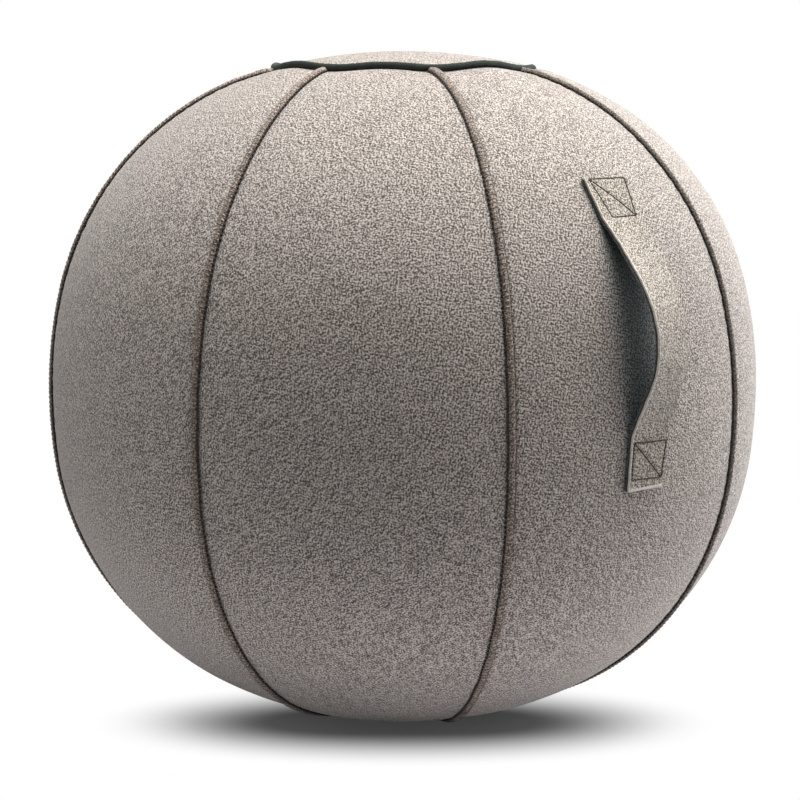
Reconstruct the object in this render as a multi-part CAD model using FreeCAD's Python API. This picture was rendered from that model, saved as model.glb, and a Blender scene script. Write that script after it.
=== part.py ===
import FreeCAD, Part
import math
import os

from FreeCAD import Placement, Rotation, Vector

# Balance ball chair: an inflated bladder in a felt cover of eight gores, with a round cap, a flat
# anti-slip base, overlocked seams, a carrying handle at the front and a zip in a rear seam.
# Millimetres. The origin is on the floor below the ball's axis, +Z is up and the handle faces -Y.
# Azimuths are degrees from -Y towards +X. Levels are heights above the outer face of the cover.

# Ball profile: waist, shoulder and end arcs, tangent to each other, above and below the equator
BALL_RADIUS = 325.0
TOP_WAIST_RADIUS = 412.0
TOP_WAIST_ANGLE = 14.0
TOP_SHOULDER_RADIUS = 263.0
TOP_SHOULDER_ANGLE = 70.0
LOW_WAIST_RADIUS = 461.0
LOW_WAIST_ANGLE = 6.0
LOW_SHOULDER_RADIUS = 277.0
LOW_SHOULDER_ANGLE = 66.0

# Cover
GORE_COUNT = 8
FELT_THICKNESS = 3.0
CAP_RING_RADIUS = 118.0
CAP_PIPING_DIAMETER = 6.0
BASE_RADIUS = 98.0
BASE_THICKNESS = 3.0
BASE_PIPING_DIAMETER = 5.0
BASE_PIPING_LIFT = 0.5
WELT_WIDTH = 6.5
WELT_PROUD = 3.0
WELT_ROUNDING = 2.8
WELT_FLOOR_GAP = 0.3
SEWN_FIT = 0.05

# Inside the cover
PAD_THICKNESS = 12.0
SOFT_CLEARANCE = 0.3
BLADDER_WALL = 1.2
VALVE_ANGLE = 30.0
VALVE_RADIUS = 13.0
VALVE_SINK = 0.8
VALVE_DEPTH = 6.0
PLUG_HEAD_RADIUS = 8.8
PLUG_HEAD_DEPTH = 1.5
PLUG_STEM_RADIUS = 4.4
PLUG_STEM_LENGTH = 5.0
PLUG_FIT = 0.1

# Carrying handle, in the plane of its gore: out from the axis, and up from the equator
STRAP_WIDTH = 42.0
STRAP_STAND_OFF = 21.0
STRAP_LINING = 1.8
STRAP_OUTER = 2.4
STRAP_UPPER_TAB_ANGLE = 35.2
STRAP_UPPER_TAB_LENGTH = 38.0
STRAP_LOWER_TAB_DROP = 17.0
STRAP_LOWER_TAB_LENGTH = 46.0
STRAP_TOP_BEND_HEIGHT = 108.0
STRAP_LOW_BEND_HEIGHT = 62.0
STRAP_TOP_BEND_RADIUS = 78.0
STRAP_LOW_BEND_RADIUS = 44.0
STRAP_UPPER_TAB_BEND_RADIUS = 16.0
STRAP_LOWER_TAB_BEND_RADIUS = 30.0
STITCH_BOX_WIDTH = 34.0
STITCH_BOX_LENGTH = 31.0
UPPER_STITCH_SHIFT = -1.5
LOWER_STITCH_SHIFT = 0.5
THREAD_WIDTH = 1.4
THREAD_PROUD = 0.7

# Zip, along the lower shoulder arc of a rear seam
ZIP_SEAM_NUMBER = 3
ZIP_START_GAP = 6.0
ZIP_LENGTH = 240.0
TAPE_END = 10.0
TAPE_WIDTH = 14.0
TAPE_THICKNESS = 0.8
TAPE_LIFT = 0.05
TEETH_WIDTH = 2.6
TEETH_HEIGHT = 2.0
TEETH_PARTING = 1.4
ZIP_SLOT_WIDTH = 12.0
STOP_LENGTH = 4.0
SLIDER_LENGTH = 12.0
SLIDER_WIDTH = 10.0
SLIDER_PLATE = 1.3
SLIDER_FLANGE = 1.2
SLIDER_CLEARANCE = 0.3
SLIDER_STOP_GAP = 0.4
POST_THICKNESS = 0.7
POST_LENGTH = 3.0
BRIDGE_LENGTH = 7.0
BRIDGE_WIDTH = 2.6
BRIDGE_HEIGHT = 3.6
PIVOT_RADIUS = 0.9
PIVOT_FIT = 0.1
TAB_LENGTH = 32.0
TAB_WIDTH = 9.0
TAB_THICKNESS = 1.8
TAB_SIDE_GAP = 0.3
TAB_WINDOW_GAP = 0.8
TAB_HOLE_RADIUS = 2.2

GORE_ANGLE = 360.0 / GORE_COUNT
AXIS = Vector(0, 0, 1)
ACROSS = Vector(0, 1, 0)


# Arcs of the profile, in the XZ plane with X out from the axis

def cosine(degrees):
    return math.cos(math.radians(degrees))


def sine(degrees):
    return math.sin(math.radians(degrees))


def heading(degrees):
    return Vector(cosine(degrees), 0, sine(degrees))


def three_arcs(waist_radius, waist_angle, shoulder_radius, shoulder_angle, height):
    """Centres and radii of waist, shoulder and end arc; the end arc is centred on the axis.

    The angles are negative below the equator.
    """
    waist = Vector(BALL_RADIUS - waist_radius, 0, height)
    shoulder = waist + heading(waist_angle) * (waist_radius - shoulder_radius)
    end_radius = shoulder_radius + shoulder.x / cosine(shoulder_angle)
    end = shoulder + heading(shoulder_angle) * (shoulder_radius - end_radius)
    return (waist, waist_radius), (shoulder, shoulder_radius), (end, end_radius)


def low_arcs(height):
    return three_arcs(LOW_WAIST_RADIUS, -LOW_WAIST_ANGLE, LOW_SHOULDER_RADIUS, -LOW_SHOULDER_ANGLE, height)


def height_on(arc, out, offset, side):
    """Height of an arc centred on the axis at a distance out from it; side is 1 above, -1 below."""
    centre, radius = arc
    return centre.z + side * math.sqrt((radius + offset) ** 2 - out ** 2)


TOE_AT_EQUATOR_ZERO = low_arcs(0.0)[2]
EQUATOR_HEIGHT = -height_on(TOE_AT_EQUATOR_ZERO, BASE_RADIUS, 0.0, -1)
TOP_ARCS = three_arcs(TOP_WAIST_RADIUS, TOP_WAIST_ANGLE, TOP_SHOULDER_RADIUS, TOP_SHOULDER_ANGLE,
                      EQUATOR_HEIGHT)
LOW_ARCS = low_arcs(EQUATOR_HEIGHT)
CROWN = TOP_ARCS[2]
TOE = LOW_ARCS[2]


def point_on(centre, radius, degrees):
    return centre + heading(degrees) * radius


def arc_edge(centre, radius, start, end):
    """Arc edge between two angles, in degrees from +X towards +Z."""
    middle = (start + end) / 2
    return Part.Arc(point_on(centre, radius, start), point_on(centre, radius, middle),
                    point_on(centre, radius, end)).toShape()


def profile_stretches(offset, top_out, low_out):
    """Each arc of the profile moved out by offset, with its two angles, from top_out to low_out."""
    top_angle = math.degrees(math.acos(top_out / (CROWN[1] + offset)))
    low_angle = -math.degrees(math.acos(low_out / (TOE[1] + offset)))
    return [
        (CROWN, top_angle, TOP_SHOULDER_ANGLE),
        (TOP_ARCS[1], TOP_SHOULDER_ANGLE, TOP_WAIST_ANGLE),
        (TOP_ARCS[0], TOP_WAIST_ANGLE, 0.0),
        (LOW_ARCS[0], 0.0, -LOW_WAIST_ANGLE),
        (LOW_ARCS[1], -LOW_WAIST_ANGLE, -LOW_SHOULDER_ANGLE),
        (TOE, -LOW_SHOULDER_ANGLE, low_angle),
    ]


def profile_edges(offset, top_out, low_out):
    """Edges of the profile moved out by offset, from top_out on the crown to low_out on the toe."""
    stretches = profile_stretches(offset, top_out, low_out)
    return [arc_edge(arc[0], arc[1] + offset, start, end) for arc, start, end in stretches]


def line(start, end):
    return Part.LineSegment(start, end).toShape()


def band_face(outer, inner, top_out, low_out):
    """Face between two offsets of the profile, from top_out to low_out."""
    outer_edges = profile_edges(outer, top_out, low_out)
    inner_edges = profile_edges(inner, top_out, low_out)
    top = line(Vector(top_out, 0, height_on(CROWN, top_out, outer, 1)),
               Vector(top_out, 0, height_on(CROWN, top_out, inner, 1)))
    low = line(Vector(low_out, 0, height_on(TOE, low_out, outer, -1)),
               Vector(low_out, 0, height_on(TOE, low_out, inner, -1)))
    return Part.Face(Part.Wire(Part.__sortEdges__(outer_edges + [low] + inner_edges + [top])))


def ball_solid(offset, floor):
    """Solid inside the profile moved out by offset, with a flat bottom at the height floor."""
    toe_radius = TOE[1] + offset
    low_out = math.sqrt(toe_radius ** 2 - (TOE[0].z - floor) ** 2)
    edges = profile_edges(offset, 0.0, low_out)
    edges.append(line(Vector(low_out, 0, floor), Vector(0, 0, floor)))
    edges.append(line(Vector(0, 0, floor), Vector(0, 0, height_on(CROWN, 0.0, offset, 1))))
    return Part.Face(Part.Wire(Part.__sortEdges__(edges))).revolve(Vector(0, 0, 0), AXIS, 360)


def at_azimuth(shape, azimuth):
    """Turn a shape built in the XZ plane to an azimuth."""
    turned = shape.copy()
    turned.rotate(Vector(0, 0, 0), AXIS, azimuth - 90)
    return turned


def slab(face, width):
    """Extrude a face in the XZ plane to both sides."""
    moved = face.copy()
    moved.translate(ACROSS * (-width / 2))
    return moved.extrude(ACROSS * width)


def seam_azimuth(index):
    return GORE_ANGLE * (index + 0.5)


# Zip frame: radii about the shoulder arc's centre, angles below the horizontal

ZIP_CENTRE, ZIP_RADIUS = LOW_ARCS[1]
ZIP_AZIMUTH = seam_azimuth(ZIP_SEAM_NUMBER)


def zip_turn(length):
    return math.degrees(length / ZIP_RADIUS)


TAPE_TOP = LOW_WAIST_ANGLE + zip_turn(ZIP_START_GAP)
CHAIN_TOP = TAPE_TOP + zip_turn(TAPE_END)
CHAIN_LOW = CHAIN_TOP + zip_turn(ZIP_LENGTH)
TAPE_LOW = CHAIN_LOW + zip_turn(TAPE_END)
TAPE_TOP_LEVEL = TAPE_LIFT + TAPE_THICKNESS
TEETH_TOP_LEVEL = TAPE_TOP_LEVEL + TEETH_HEIGHT
SLIDER_ANGLE = CHAIN_TOP + zip_turn(STOP_LENGTH + SLIDER_STOP_GAP + SLIDER_LENGTH / 2)
SLIDER_TOP_LEVEL = TEETH_TOP_LEVEL + SLIDER_CLEARANCE + SLIDER_PLATE
PIVOT_LEVEL = SLIDER_TOP_LEVEL + BRIDGE_HEIGHT / 2


def sector(low_level, high_level, top_angle, low_angle, width, side=0.0):
    """Block that follows the zip's arc, between two levels and two angles, shifted sideways by side."""
    low_radius = ZIP_RADIUS + low_level
    high_radius = ZIP_RADIUS + high_level
    outer = arc_edge(ZIP_CENTRE, high_radius, -top_angle, -low_angle)
    inner = arc_edge(ZIP_CENTRE, low_radius, -low_angle, -top_angle)
    low_end = line(point_on(ZIP_CENTRE, high_radius, -low_angle),
                   point_on(ZIP_CENTRE, low_radius, -low_angle))
    top_end = line(point_on(ZIP_CENTRE, low_radius, -top_angle),
                   point_on(ZIP_CENTRE, high_radius, -top_angle))
    block = slab(Part.Face(Part.Wire([outer, low_end, inner, top_end])), width)
    block.translate(ACROSS * side)
    return block


# Cover

def zip_slot():
    """Room for the zip in the rear seam."""
    depth = 2 * FELT_THICKNESS
    slot = sector(-depth, depth, TAPE_TOP, TAPE_LOW, ZIP_SLOT_WIDTH)
    return at_azimuth(slot, ZIP_AZIMUTH)


def seam_ends():
    """How far out from the axis the gores and seams end, at the cap's ring and at the base's ring."""
    top_out = CAP_RING_RADIUS + CAP_PIPING_DIAMETER / 2 + SEWN_FIT
    low_out = BASE_RADIUS + BASE_PIPING_DIAMETER + 2 * SEWN_FIT
    return top_out, low_out


def plain_gore():
    """Gore centred on the handle's azimuth, cut back on both sides by half a welt."""
    top_out, low_out = seam_ends()
    face = band_face(0.0, -FELT_THICKNESS, top_out, low_out)
    gore = at_azimuth(face.revolve(Vector(0, 0, 0), AXIS, 2 * GORE_ANGLE), -GORE_ANGLE)
    reach = 2 * BALL_RADIUS
    for side, start in ((-1, WELT_WIDTH / 2 - reach), (1, -WELT_WIDTH / 2)):
        beyond = Part.makeBox(reach, reach, 2 * reach, Vector(0, start, -BALL_RADIUS))
        gore = gore.cut(at_azimuth(beyond, side * GORE_ANGLE / 2))
    return gore


def gore_panel(index, gore, slot):
    panel = gore.copy()
    panel.rotate(Vector(0, 0, 0), AXIS, index * GORE_ANGLE)
    if ZIP_SEAM_NUMBER in (index - 1, index):
        panel = panel.cut(slot)
    return panel


def welt_section(arc, degrees):
    """Section of a seam welt, square to the profile at an angle of one of its arcs, rounded outside."""
    centre, radius = arc
    half = WELT_WIDTH / 2
    bend = WELT_ROUNDING

    def place(level, side):
        return point_on(centre, radius + level, degrees) + ACROSS * side

    slant = bend * math.sqrt(0.5)
    slant_level = WELT_PROUD - bend + slant
    slant_side = half - bend + slant
    right_bend = Part.Arc(place(WELT_PROUD - bend, half), place(slant_level, slant_side),
                          place(WELT_PROUD, half - bend)).toShape()
    left_bend = Part.Arc(place(WELT_PROUD, bend - half), place(slant_level, -slant_side),
                         place(WELT_PROUD - bend, -half)).toShape()
    edges = [
        line(place(-FELT_THICKNESS, -half), place(-FELT_THICKNESS, half)),
        line(place(-FELT_THICKNESS, half), place(WELT_PROUD - bend, half)),
        right_bend,
        line(place(WELT_PROUD, half - bend), place(WELT_PROUD, bend - half)),
        left_bend,
        line(place(WELT_PROUD - bend, -half), place(-FELT_THICKNESS, -half)),
    ]
    return Part.Face(Part.Wire(edges))


def plain_welt():
    """Overlocked ridge of one seam in the XZ plane: its section, turned about each arc's centre."""
    top_out, low_out = seam_ends()
    stretches = profile_stretches(WELT_PROUD, top_out - WELT_WIDTH, low_out - WELT_WIDTH)
    turned = [welt_section(arc, start).revolve(arc[0], ACROSS, start - end) for arc, start, end in stretches]
    welt = turned[0].fuse(turned[1:]).removeSplitter()
    over_cap = Part.makeCylinder(top_out, 2 * BALL_RADIUS, Vector(0, 0, EQUATOR_HEIGHT))
    under_base = Part.makeCylinder(low_out, 2 * BALL_RADIUS, Vector(0, 0, EQUATOR_HEIGHT - 2 * BALL_RADIUS))
    floor = Part.makeBox(2 * BALL_RADIUS, 2 * BALL_RADIUS, BALL_RADIUS,
                         Vector(0, -BALL_RADIUS, WELT_FLOOR_GAP - BALL_RADIUS))
    return welt.cut([over_cap, under_base, floor])


def seam_welt(index, welt, slot):
    """Welt of one seam; the zip takes its place along the zip's length."""
    placed = at_azimuth(welt, seam_azimuth(index))
    if index == ZIP_SEAM_NUMBER:
        placed = placed.cut(slot)
    return placed


def top_cap_panel():
    out = CAP_RING_RADIUS - CAP_PIPING_DIAMETER / 2 - SEWN_FIT
    inner_radius = CROWN[1] - FELT_THICKNESS
    outer_angle = math.degrees(math.acos(out / CROWN[1]))
    inner_angle = math.degrees(math.acos(out / inner_radius))
    edges = [
        arc_edge(CROWN[0], CROWN[1], 90.0, outer_angle),
        line(point_on(CROWN[0], CROWN[1], outer_angle), point_on(CROWN[0], inner_radius, inner_angle)),
        arc_edge(CROWN[0], inner_radius, inner_angle, 90.0),
        line(point_on(CROWN[0], inner_radius, 90.0), point_on(CROWN[0], CROWN[1], 90.0)),
    ]
    return Part.Face(Part.Wire(edges)).revolve(Vector(0, 0, 0), AXIS, 360)


def top_piping():
    height = height_on(CROWN, CAP_RING_RADIUS, 0.0, 1)
    return Part.makeTorus(CAP_RING_RADIUS, CAP_PIPING_DIAMETER / 2, Vector(0, 0, height))


def base_panel():
    return Part.makeCylinder(BASE_RADIUS, BASE_THICKNESS)


def base_piping():
    ring_radius = BASE_RADIUS + SEWN_FIT + BASE_PIPING_DIAMETER / 2
    height = BASE_PIPING_LIFT + BASE_PIPING_DIAMETER / 2
    return Part.makeTorus(ring_radius, BASE_PIPING_DIAMETER / 2, Vector(0, 0, height))


# Inside the cover

INNER_OFFSET = -FELT_THICKNESS - SOFT_CLEARANCE
PAD_FLOOR = BASE_THICKNESS + SEWN_FIT
BLADDER_FLOOR = PAD_FLOOR + PAD_THICKNESS + SOFT_CLEARANCE


def weighted_base_pad():
    """Heavy pad that fills the bottom of the cover, stepped at its rim to clear the base piping."""
    layer = Part.makeCylinder(BALL_RADIUS, PAD_THICKNESS, Vector(0, 0, PAD_FLOOR))
    step_height = BASE_PIPING_LIFT + BASE_PIPING_DIAMETER + SOFT_CLEARANCE
    step = Part.makeCylinder(BALL_RADIUS, step_height).cut(Part.makeCylinder(BASE_RADIUS, step_height))
    return ball_solid(INNER_OFFSET, PAD_FLOOR).common(layer).cut(step)


def valve_cylinder(radius, high_level, low_level):
    """Round body square to the bladder at the valve, between two levels."""
    direction = heading(-VALVE_ANGLE)
    start = ZIP_CENTRE + direction * (ZIP_RADIUS + low_level)
    return Part.makeCylinder(radius, high_level - low_level, start, direction)


VALVE_FACE = INNER_OFFSET - VALVE_SINK
HEAD_SEAT = VALVE_FACE - PLUG_HEAD_DEPTH


def bladder():
    outer = ball_solid(INNER_OFFSET, BLADDER_FLOOR)
    inner = ball_solid(INNER_OFFSET - BLADDER_WALL, BLADDER_FLOOR + BLADDER_WALL)
    opening = valve_cylinder(VALVE_RADIUS, 0.0, VALVE_FACE - VALVE_DEPTH)
    return outer.cut(inner).cut(at_azimuth(opening, ZIP_AZIMUTH))


def valve_seat():
    body = valve_cylinder(VALVE_RADIUS, VALVE_FACE, VALVE_FACE - VALVE_DEPTH)
    head_room = valve_cylinder(PLUG_HEAD_RADIUS + PLUG_FIT, VALVE_FACE, HEAD_SEAT)
    bore = valve_cylinder(PLUG_STEM_RADIUS + PLUG_FIT, VALVE_FACE, VALVE_FACE - VALVE_DEPTH)
    return at_azimuth(body.cut(head_room).cut(bore), ZIP_AZIMUTH)


def air_plug():
    head = valve_cylinder(PLUG_HEAD_RADIUS, VALVE_FACE, HEAD_SEAT)
    stem = valve_cylinder(PLUG_STEM_RADIUS, HEAD_SEAT, HEAD_SEAT - PLUG_STEM_LENGTH)
    return at_azimuth(head.fuse(stem), ZIP_AZIMUTH)


# Carrying handle

def turn_at(before, corner, after):
    """Turn of a path at a corner, in radians, positive towards the outside of the ball."""
    first = corner - before
    second = after - corner
    return math.atan2(first.x * second.z - first.z * second.x, first.dot(second))


def offset_corners(corners, offset):
    """Corners of a path in the XZ plane, moved sideways by offset; a path going down moves out."""
    normals = []
    for start, end in zip(corners, corners[1:]):
        direction = (end - start).normalize()
        normals.append(Vector(-direction.z, 0, direction.x))
    moved = [corners[0] + normals[0] * offset]
    for corner, before, after in zip(corners[1:-1], normals, normals[1:]):
        mean = (before + after).normalize()
        moved.append(corner + mean * (offset / mean.dot(before)))
    moved.append(corners[-1] + normals[-1] * offset)
    return moved


def rounded_edges(corners, radii):
    """Lines and tangent arcs along a path; one radius for each inner corner."""
    edges = []
    start = corners[0]
    for before, corner, after, radius in zip(corners, corners[1:], corners[2:], radii):
        turn = abs(turn_at(before, corner, after))
        reach = radius * math.tan(turn / 2)
        arc_start = corner + (before - corner).normalize() * reach
        arc_end = corner + (after - corner).normalize() * reach
        inward = ((arc_start + arc_end) * 0.5 - corner).normalize()
        arc_middle = corner + inward * (radius / math.cos(turn / 2) - radius)
        edges.append(line(start, arc_start))
        edges.append(Part.Arc(arc_start, arc_middle, arc_end).toShape())
        start = arc_end
    edges.append(line(start, corners[-1]))
    return edges


def strap_corners():
    """Corners of the handle's inner face, from the upper tab's end to the lower tab's end."""
    shoulder, shoulder_radius = TOP_ARCS[1]
    upper_seat = point_on(shoulder, shoulder_radius + SEWN_FIT, STRAP_UPPER_TAB_ANGLE)
    upper_down = Vector(sine(STRAP_UPPER_TAB_ANGLE), 0, -cosine(STRAP_UPPER_TAB_ANGLE))
    waist, waist_radius = LOW_ARCS[0]
    lower_angle = -math.degrees(math.asin(STRAP_LOWER_TAB_DROP / waist_radius))
    lower_seat = point_on(waist, waist_radius + SEWN_FIT, lower_angle)
    lower_down = Vector(sine(lower_angle), 0, -cosine(lower_angle))
    bow_out = BALL_RADIUS + STRAP_STAND_OFF
    return [
        upper_seat - upper_down * (STRAP_UPPER_TAB_LENGTH / 2),
        upper_seat + upper_down * (STRAP_UPPER_TAB_LENGTH / 2),
        Vector(bow_out, 0, EQUATOR_HEIGHT + STRAP_TOP_BEND_HEIGHT),
        Vector(bow_out, 0, EQUATOR_HEIGHT + STRAP_LOW_BEND_HEIGHT),
        lower_seat - lower_down * (STRAP_LOWER_TAB_LENGTH / 2),
        lower_seat + lower_down * (STRAP_LOWER_TAB_LENGTH / 2),
    ]


STRAP_CORNERS = strap_corners()
STRAP_RADII = [STRAP_UPPER_TAB_BEND_RADIUS, STRAP_TOP_BEND_RADIUS, STRAP_LOW_BEND_RADIUS,
               STRAP_LOWER_TAB_BEND_RADIUS]


def strap_path(level):
    """Edges of the strap's path, level above its inner face; bends keep one centre through the layers."""
    corners = offset_corners(STRAP_CORNERS, level)
    bends = zip(STRAP_CORNERS, STRAP_CORNERS[1:], STRAP_CORNERS[2:], STRAP_RADII)
    radii = []
    for before, corner, after, radius in bends:
        outward_bend = turn_at(before, corner, after) > 0
        radii.append(radius - level if outward_bend else radius + level)
    return rounded_edges(corners, radii), corners


def strap_layer(low_level, high_level):
    low_edges, low_corners = strap_path(low_level)
    high_edges, high_corners = strap_path(high_level)
    ends = [line(low_corners[0], high_corners[0]), line(low_corners[-1], high_corners[-1])]
    face = Part.Face(Part.Wire(Part.__sortEdges__(low_edges + high_edges + ends)))
    return at_azimuth(slab(face, STRAP_WIDTH), 0.0)


def handle_lining():
    return strap_layer(0.0, STRAP_LINING)


def handle_outer():
    return strap_layer(STRAP_LINING, STRAP_LINING + STRAP_OUTER)


def box_stitch(tab_start, tab_end, shift):
    """Square of thread with one diagonal on a tab's outer face; shift moves it along the strap."""
    half_length = STITCH_BOX_LENGTH / 2
    half_width = STITCH_BOX_WIDTH / 2
    half_thread = THREAD_WIDTH / 2
    bars = []
    for side in (-1, 1):
        bars.append(Part.makeBox(STITCH_BOX_LENGTH + THREAD_WIDTH, THREAD_WIDTH, THREAD_PROUD,
                                 Vector(-half_length - half_thread, side * half_width - half_thread, 0)))
        bars.append(Part.makeBox(THREAD_WIDTH, STITCH_BOX_WIDTH, THREAD_PROUD,
                                 Vector(side * half_length - half_thread, -half_width, 0)))
    diagonal = Part.makeBox(math.hypot(STITCH_BOX_LENGTH, STITCH_BOX_WIDTH), THREAD_WIDTH, THREAD_PROUD,
                            Vector(0, -half_thread, 0))
    diagonal.rotate(Vector(0, 0, 0), AXIS, math.degrees(math.atan2(STITCH_BOX_WIDTH, STITCH_BOX_LENGTH)))
    diagonal.translate(Vector(-half_length, -half_width, 0))
    frame = bars[0].fuse(bars[1:] + [diagonal]).removeSplitter()
    down = (tab_end - tab_start).normalize()
    outward = down.cross(ACROSS)
    seat = (tab_start + tab_end) * 0.5 + outward * (STRAP_LINING + STRAP_OUTER) + down * shift
    frame.Placement = Placement(seat, Rotation(down, ACROSS, outward, "XYZ"))
    return at_azimuth(frame, 0.0)


def upper_handle_stitch():
    return box_stitch(STRAP_CORNERS[0], STRAP_CORNERS[1], UPPER_STITCH_SHIFT)


def lower_handle_stitch():
    return box_stitch(STRAP_CORNERS[-2], STRAP_CORNERS[-1], LOWER_STITCH_SHIFT)


# Zip

def zip_tape(side):
    inner_edge = POST_THICKNESS / 2 + SLIDER_CLEARANCE
    width = TAPE_WIDTH - inner_edge
    tape = sector(TAPE_LIFT, TAPE_TOP_LEVEL, TAPE_TOP, TAPE_LOW, width, side * (inner_edge + width / 2))
    return at_azimuth(tape, ZIP_AZIMUTH)


def zip_teeth(side):
    """Tooth row of one side; the parting between the rows is the way of the slider's post."""
    middle = side * (TEETH_PARTING / 2 + TEETH_WIDTH / 2)
    row = sector(TAPE_TOP_LEVEL, TEETH_TOP_LEVEL, CHAIN_TOP + zip_turn(STOP_LENGTH),
                 CHAIN_LOW - zip_turn(STOP_LENGTH), TEETH_WIDTH, middle)
    return at_azimuth(row, ZIP_AZIMUTH)


def zip_stop(top_angle):
    width = TEETH_PARTING + 2 * TEETH_WIDTH
    stop = sector(TAPE_TOP_LEVEL, TEETH_TOP_LEVEL, top_angle, top_angle + zip_turn(STOP_LENGTH), width)
    return at_azimuth(stop, ZIP_AZIMUTH)


def zip_slider():
    """Two plates joined by a post at the leading end, with side flanges and a bridge for the tab."""
    half_turn = zip_turn(SLIDER_LENGTH / 2)
    top_angle = SLIDER_ANGLE - half_turn
    low_angle = SLIDER_ANGLE + half_turn
    plate_level = TEETH_TOP_LEVEL + SLIDER_CLEARANCE
    back_level = TAPE_LIFT - SLIDER_CLEARANCE
    front_plate = sector(plate_level, SLIDER_TOP_LEVEL, top_angle, low_angle, SLIDER_WIDTH)
    back_plate = sector(back_level - SLIDER_PLATE, back_level, top_angle, low_angle, SLIDER_WIDTH)
    post = sector(back_level - SLIDER_PLATE / 2, plate_level + SLIDER_PLATE / 2, top_angle,
                  top_angle + zip_turn(POST_LENGTH), POST_THICKNESS)
    flange_side = (SLIDER_WIDTH - SLIDER_FLANGE) / 2
    flanges = [sector(TAPE_TOP_LEVEL + SLIDER_CLEARANCE, plate_level + SLIDER_PLATE / 2, top_angle, low_angle,
                      SLIDER_FLANGE, side * flange_side) for side in (-1, 1)]
    bridge_half = zip_turn(BRIDGE_LENGTH / 2)
    bridge = sector(SLIDER_TOP_LEVEL - SLIDER_PLATE / 2, SLIDER_TOP_LEVEL + BRIDGE_HEIGHT,
                    SLIDER_ANGLE - bridge_half, SLIDER_ANGLE + bridge_half, BRIDGE_WIDTH)
    pivot = point_on(ZIP_CENTRE, ZIP_RADIUS + PIVOT_LEVEL, -SLIDER_ANGLE)
    hole = Part.makeCylinder(PIVOT_RADIUS + PIVOT_FIT, 2 * SLIDER_WIDTH,
                             pivot - ACROSS * SLIDER_WIDTH, ACROSS)
    slider = front_plate.fuse([back_plate, post, bridge] + flanges).cut(hole)
    return at_azimuth(slider, ZIP_AZIMUTH)


def pull_tab():
    """Tab that hangs from a cross bar in the slider's bridge, with a window round the bridge."""
    pivot = point_on(ZIP_CENTRE, ZIP_RADIUS + PIVOT_LEVEL, -SLIDER_ANGLE)
    plate = Part.makeBox(TAB_THICKNESS, TAB_WIDTH, TAB_LENGTH,
                         Vector(-TAB_THICKNESS / 2, -TAB_WIDTH / 2, -TAB_LENGTH))
    end_cap = Part.makeCylinder(TAB_THICKNESS / 2, TAB_WIDTH, Vector(0, -TAB_WIDTH / 2, 0), ACROSS)
    window_width = BRIDGE_WIDTH + 2 * TAB_SIDE_GAP
    window_reach = math.hypot(BRIDGE_LENGTH / 2, BRIDGE_HEIGHT / 2) + TAB_WINDOW_GAP
    window = Part.makeBox(2 * TAB_THICKNESS, window_width, 2 * window_reach,
                          Vector(-TAB_THICKNESS, -window_width / 2, -window_reach))
    bar = Part.makeCylinder(PIVOT_RADIUS, TAB_WIDTH, Vector(0, -TAB_WIDTH / 2, 0), ACROSS)
    hole_place = Vector(-TAB_THICKNESS, 0, -TAB_LENGTH + 2 * TAB_HOLE_RADIUS)
    grip_hole = Part.makeCylinder(TAB_HOLE_RADIUS, 2 * TAB_THICKNESS, hole_place, Vector(1, 0, 0))
    tab = plate.fuse(end_cap).cut(window).cut(grip_hole).fuse(bar).removeSplitter()
    tab.translate(pivot)
    return at_azimuth(tab, ZIP_AZIMUTH)


# All pieces

def build():
    slot = zip_slot()
    pieces = {
        "top_cap_panel": top_cap_panel(),
        "top_piping": top_piping(),
        "base_panel": base_panel(),
        "base_piping": base_piping(),
        "weighted_base_pad": weighted_base_pad(),
        "bladder": bladder(),
        "valve_seat": valve_seat(),
        "air_plug": air_plug(),
        "handle_outer": handle_outer(),
        "handle_lining": handle_lining(),
        "upper_handle_stitch": upper_handle_stitch(),
        "lower_handle_stitch": lower_handle_stitch(),
        "zip_tape_left": zip_tape(-1),
        "zip_tape_right": zip_tape(1),
        "zip_teeth_left": zip_teeth(-1),
        "zip_teeth_right": zip_teeth(1),
        "zip_top_stop": zip_stop(CHAIN_TOP),
        "zip_bottom_stop": zip_stop(CHAIN_LOW - zip_turn(STOP_LENGTH)),
        "zip_slider": zip_slider(),
        "pull_tab": pull_tab(),
    }
    gore = plain_gore()
    welt = plain_welt()
    for index in range(GORE_COUNT):
        pieces[f"gore_panel_{index + 1}"] = gore_panel(index, gore, slot)
        pieces[f"seam_welt_{index + 1}"] = seam_welt(index, welt, slot)
    return pieces


os.makedirs("parts", exist_ok=True)
for name, shape in build().items():
    shape.exportStep(f"parts/{name}.step")
    print(f"{name}: {len(shape.Solids)} solid, {shape.Volume / 1000:.1f} cm3, valid {shape.isValid()}")

zip_pivot = at_azimuth(Part.Vertex(ZIP_CENTRE), ZIP_AZIMUTH).Point
pivot = point_on(ZIP_CENTRE, ZIP_RADIUS + PIVOT_LEVEL, -SLIDER_ANGLE)
tab_pivot = at_azimuth(Part.Vertex(pivot), ZIP_AZIMUTH).Point
slider_travel = CHAIN_LOW - zip_turn(STOP_LENGTH + SLIDER_STOP_GAP + SLIDER_LENGTH / 2) - SLIDER_ANGLE
print("zip arc centre", zip_pivot, "slider travel", round(slider_travel, 3), "degrees")
print("tab pivot", tab_pivot, "equator height", round(EQUATOR_HEIGHT, 2))
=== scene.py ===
import math
import random

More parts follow.
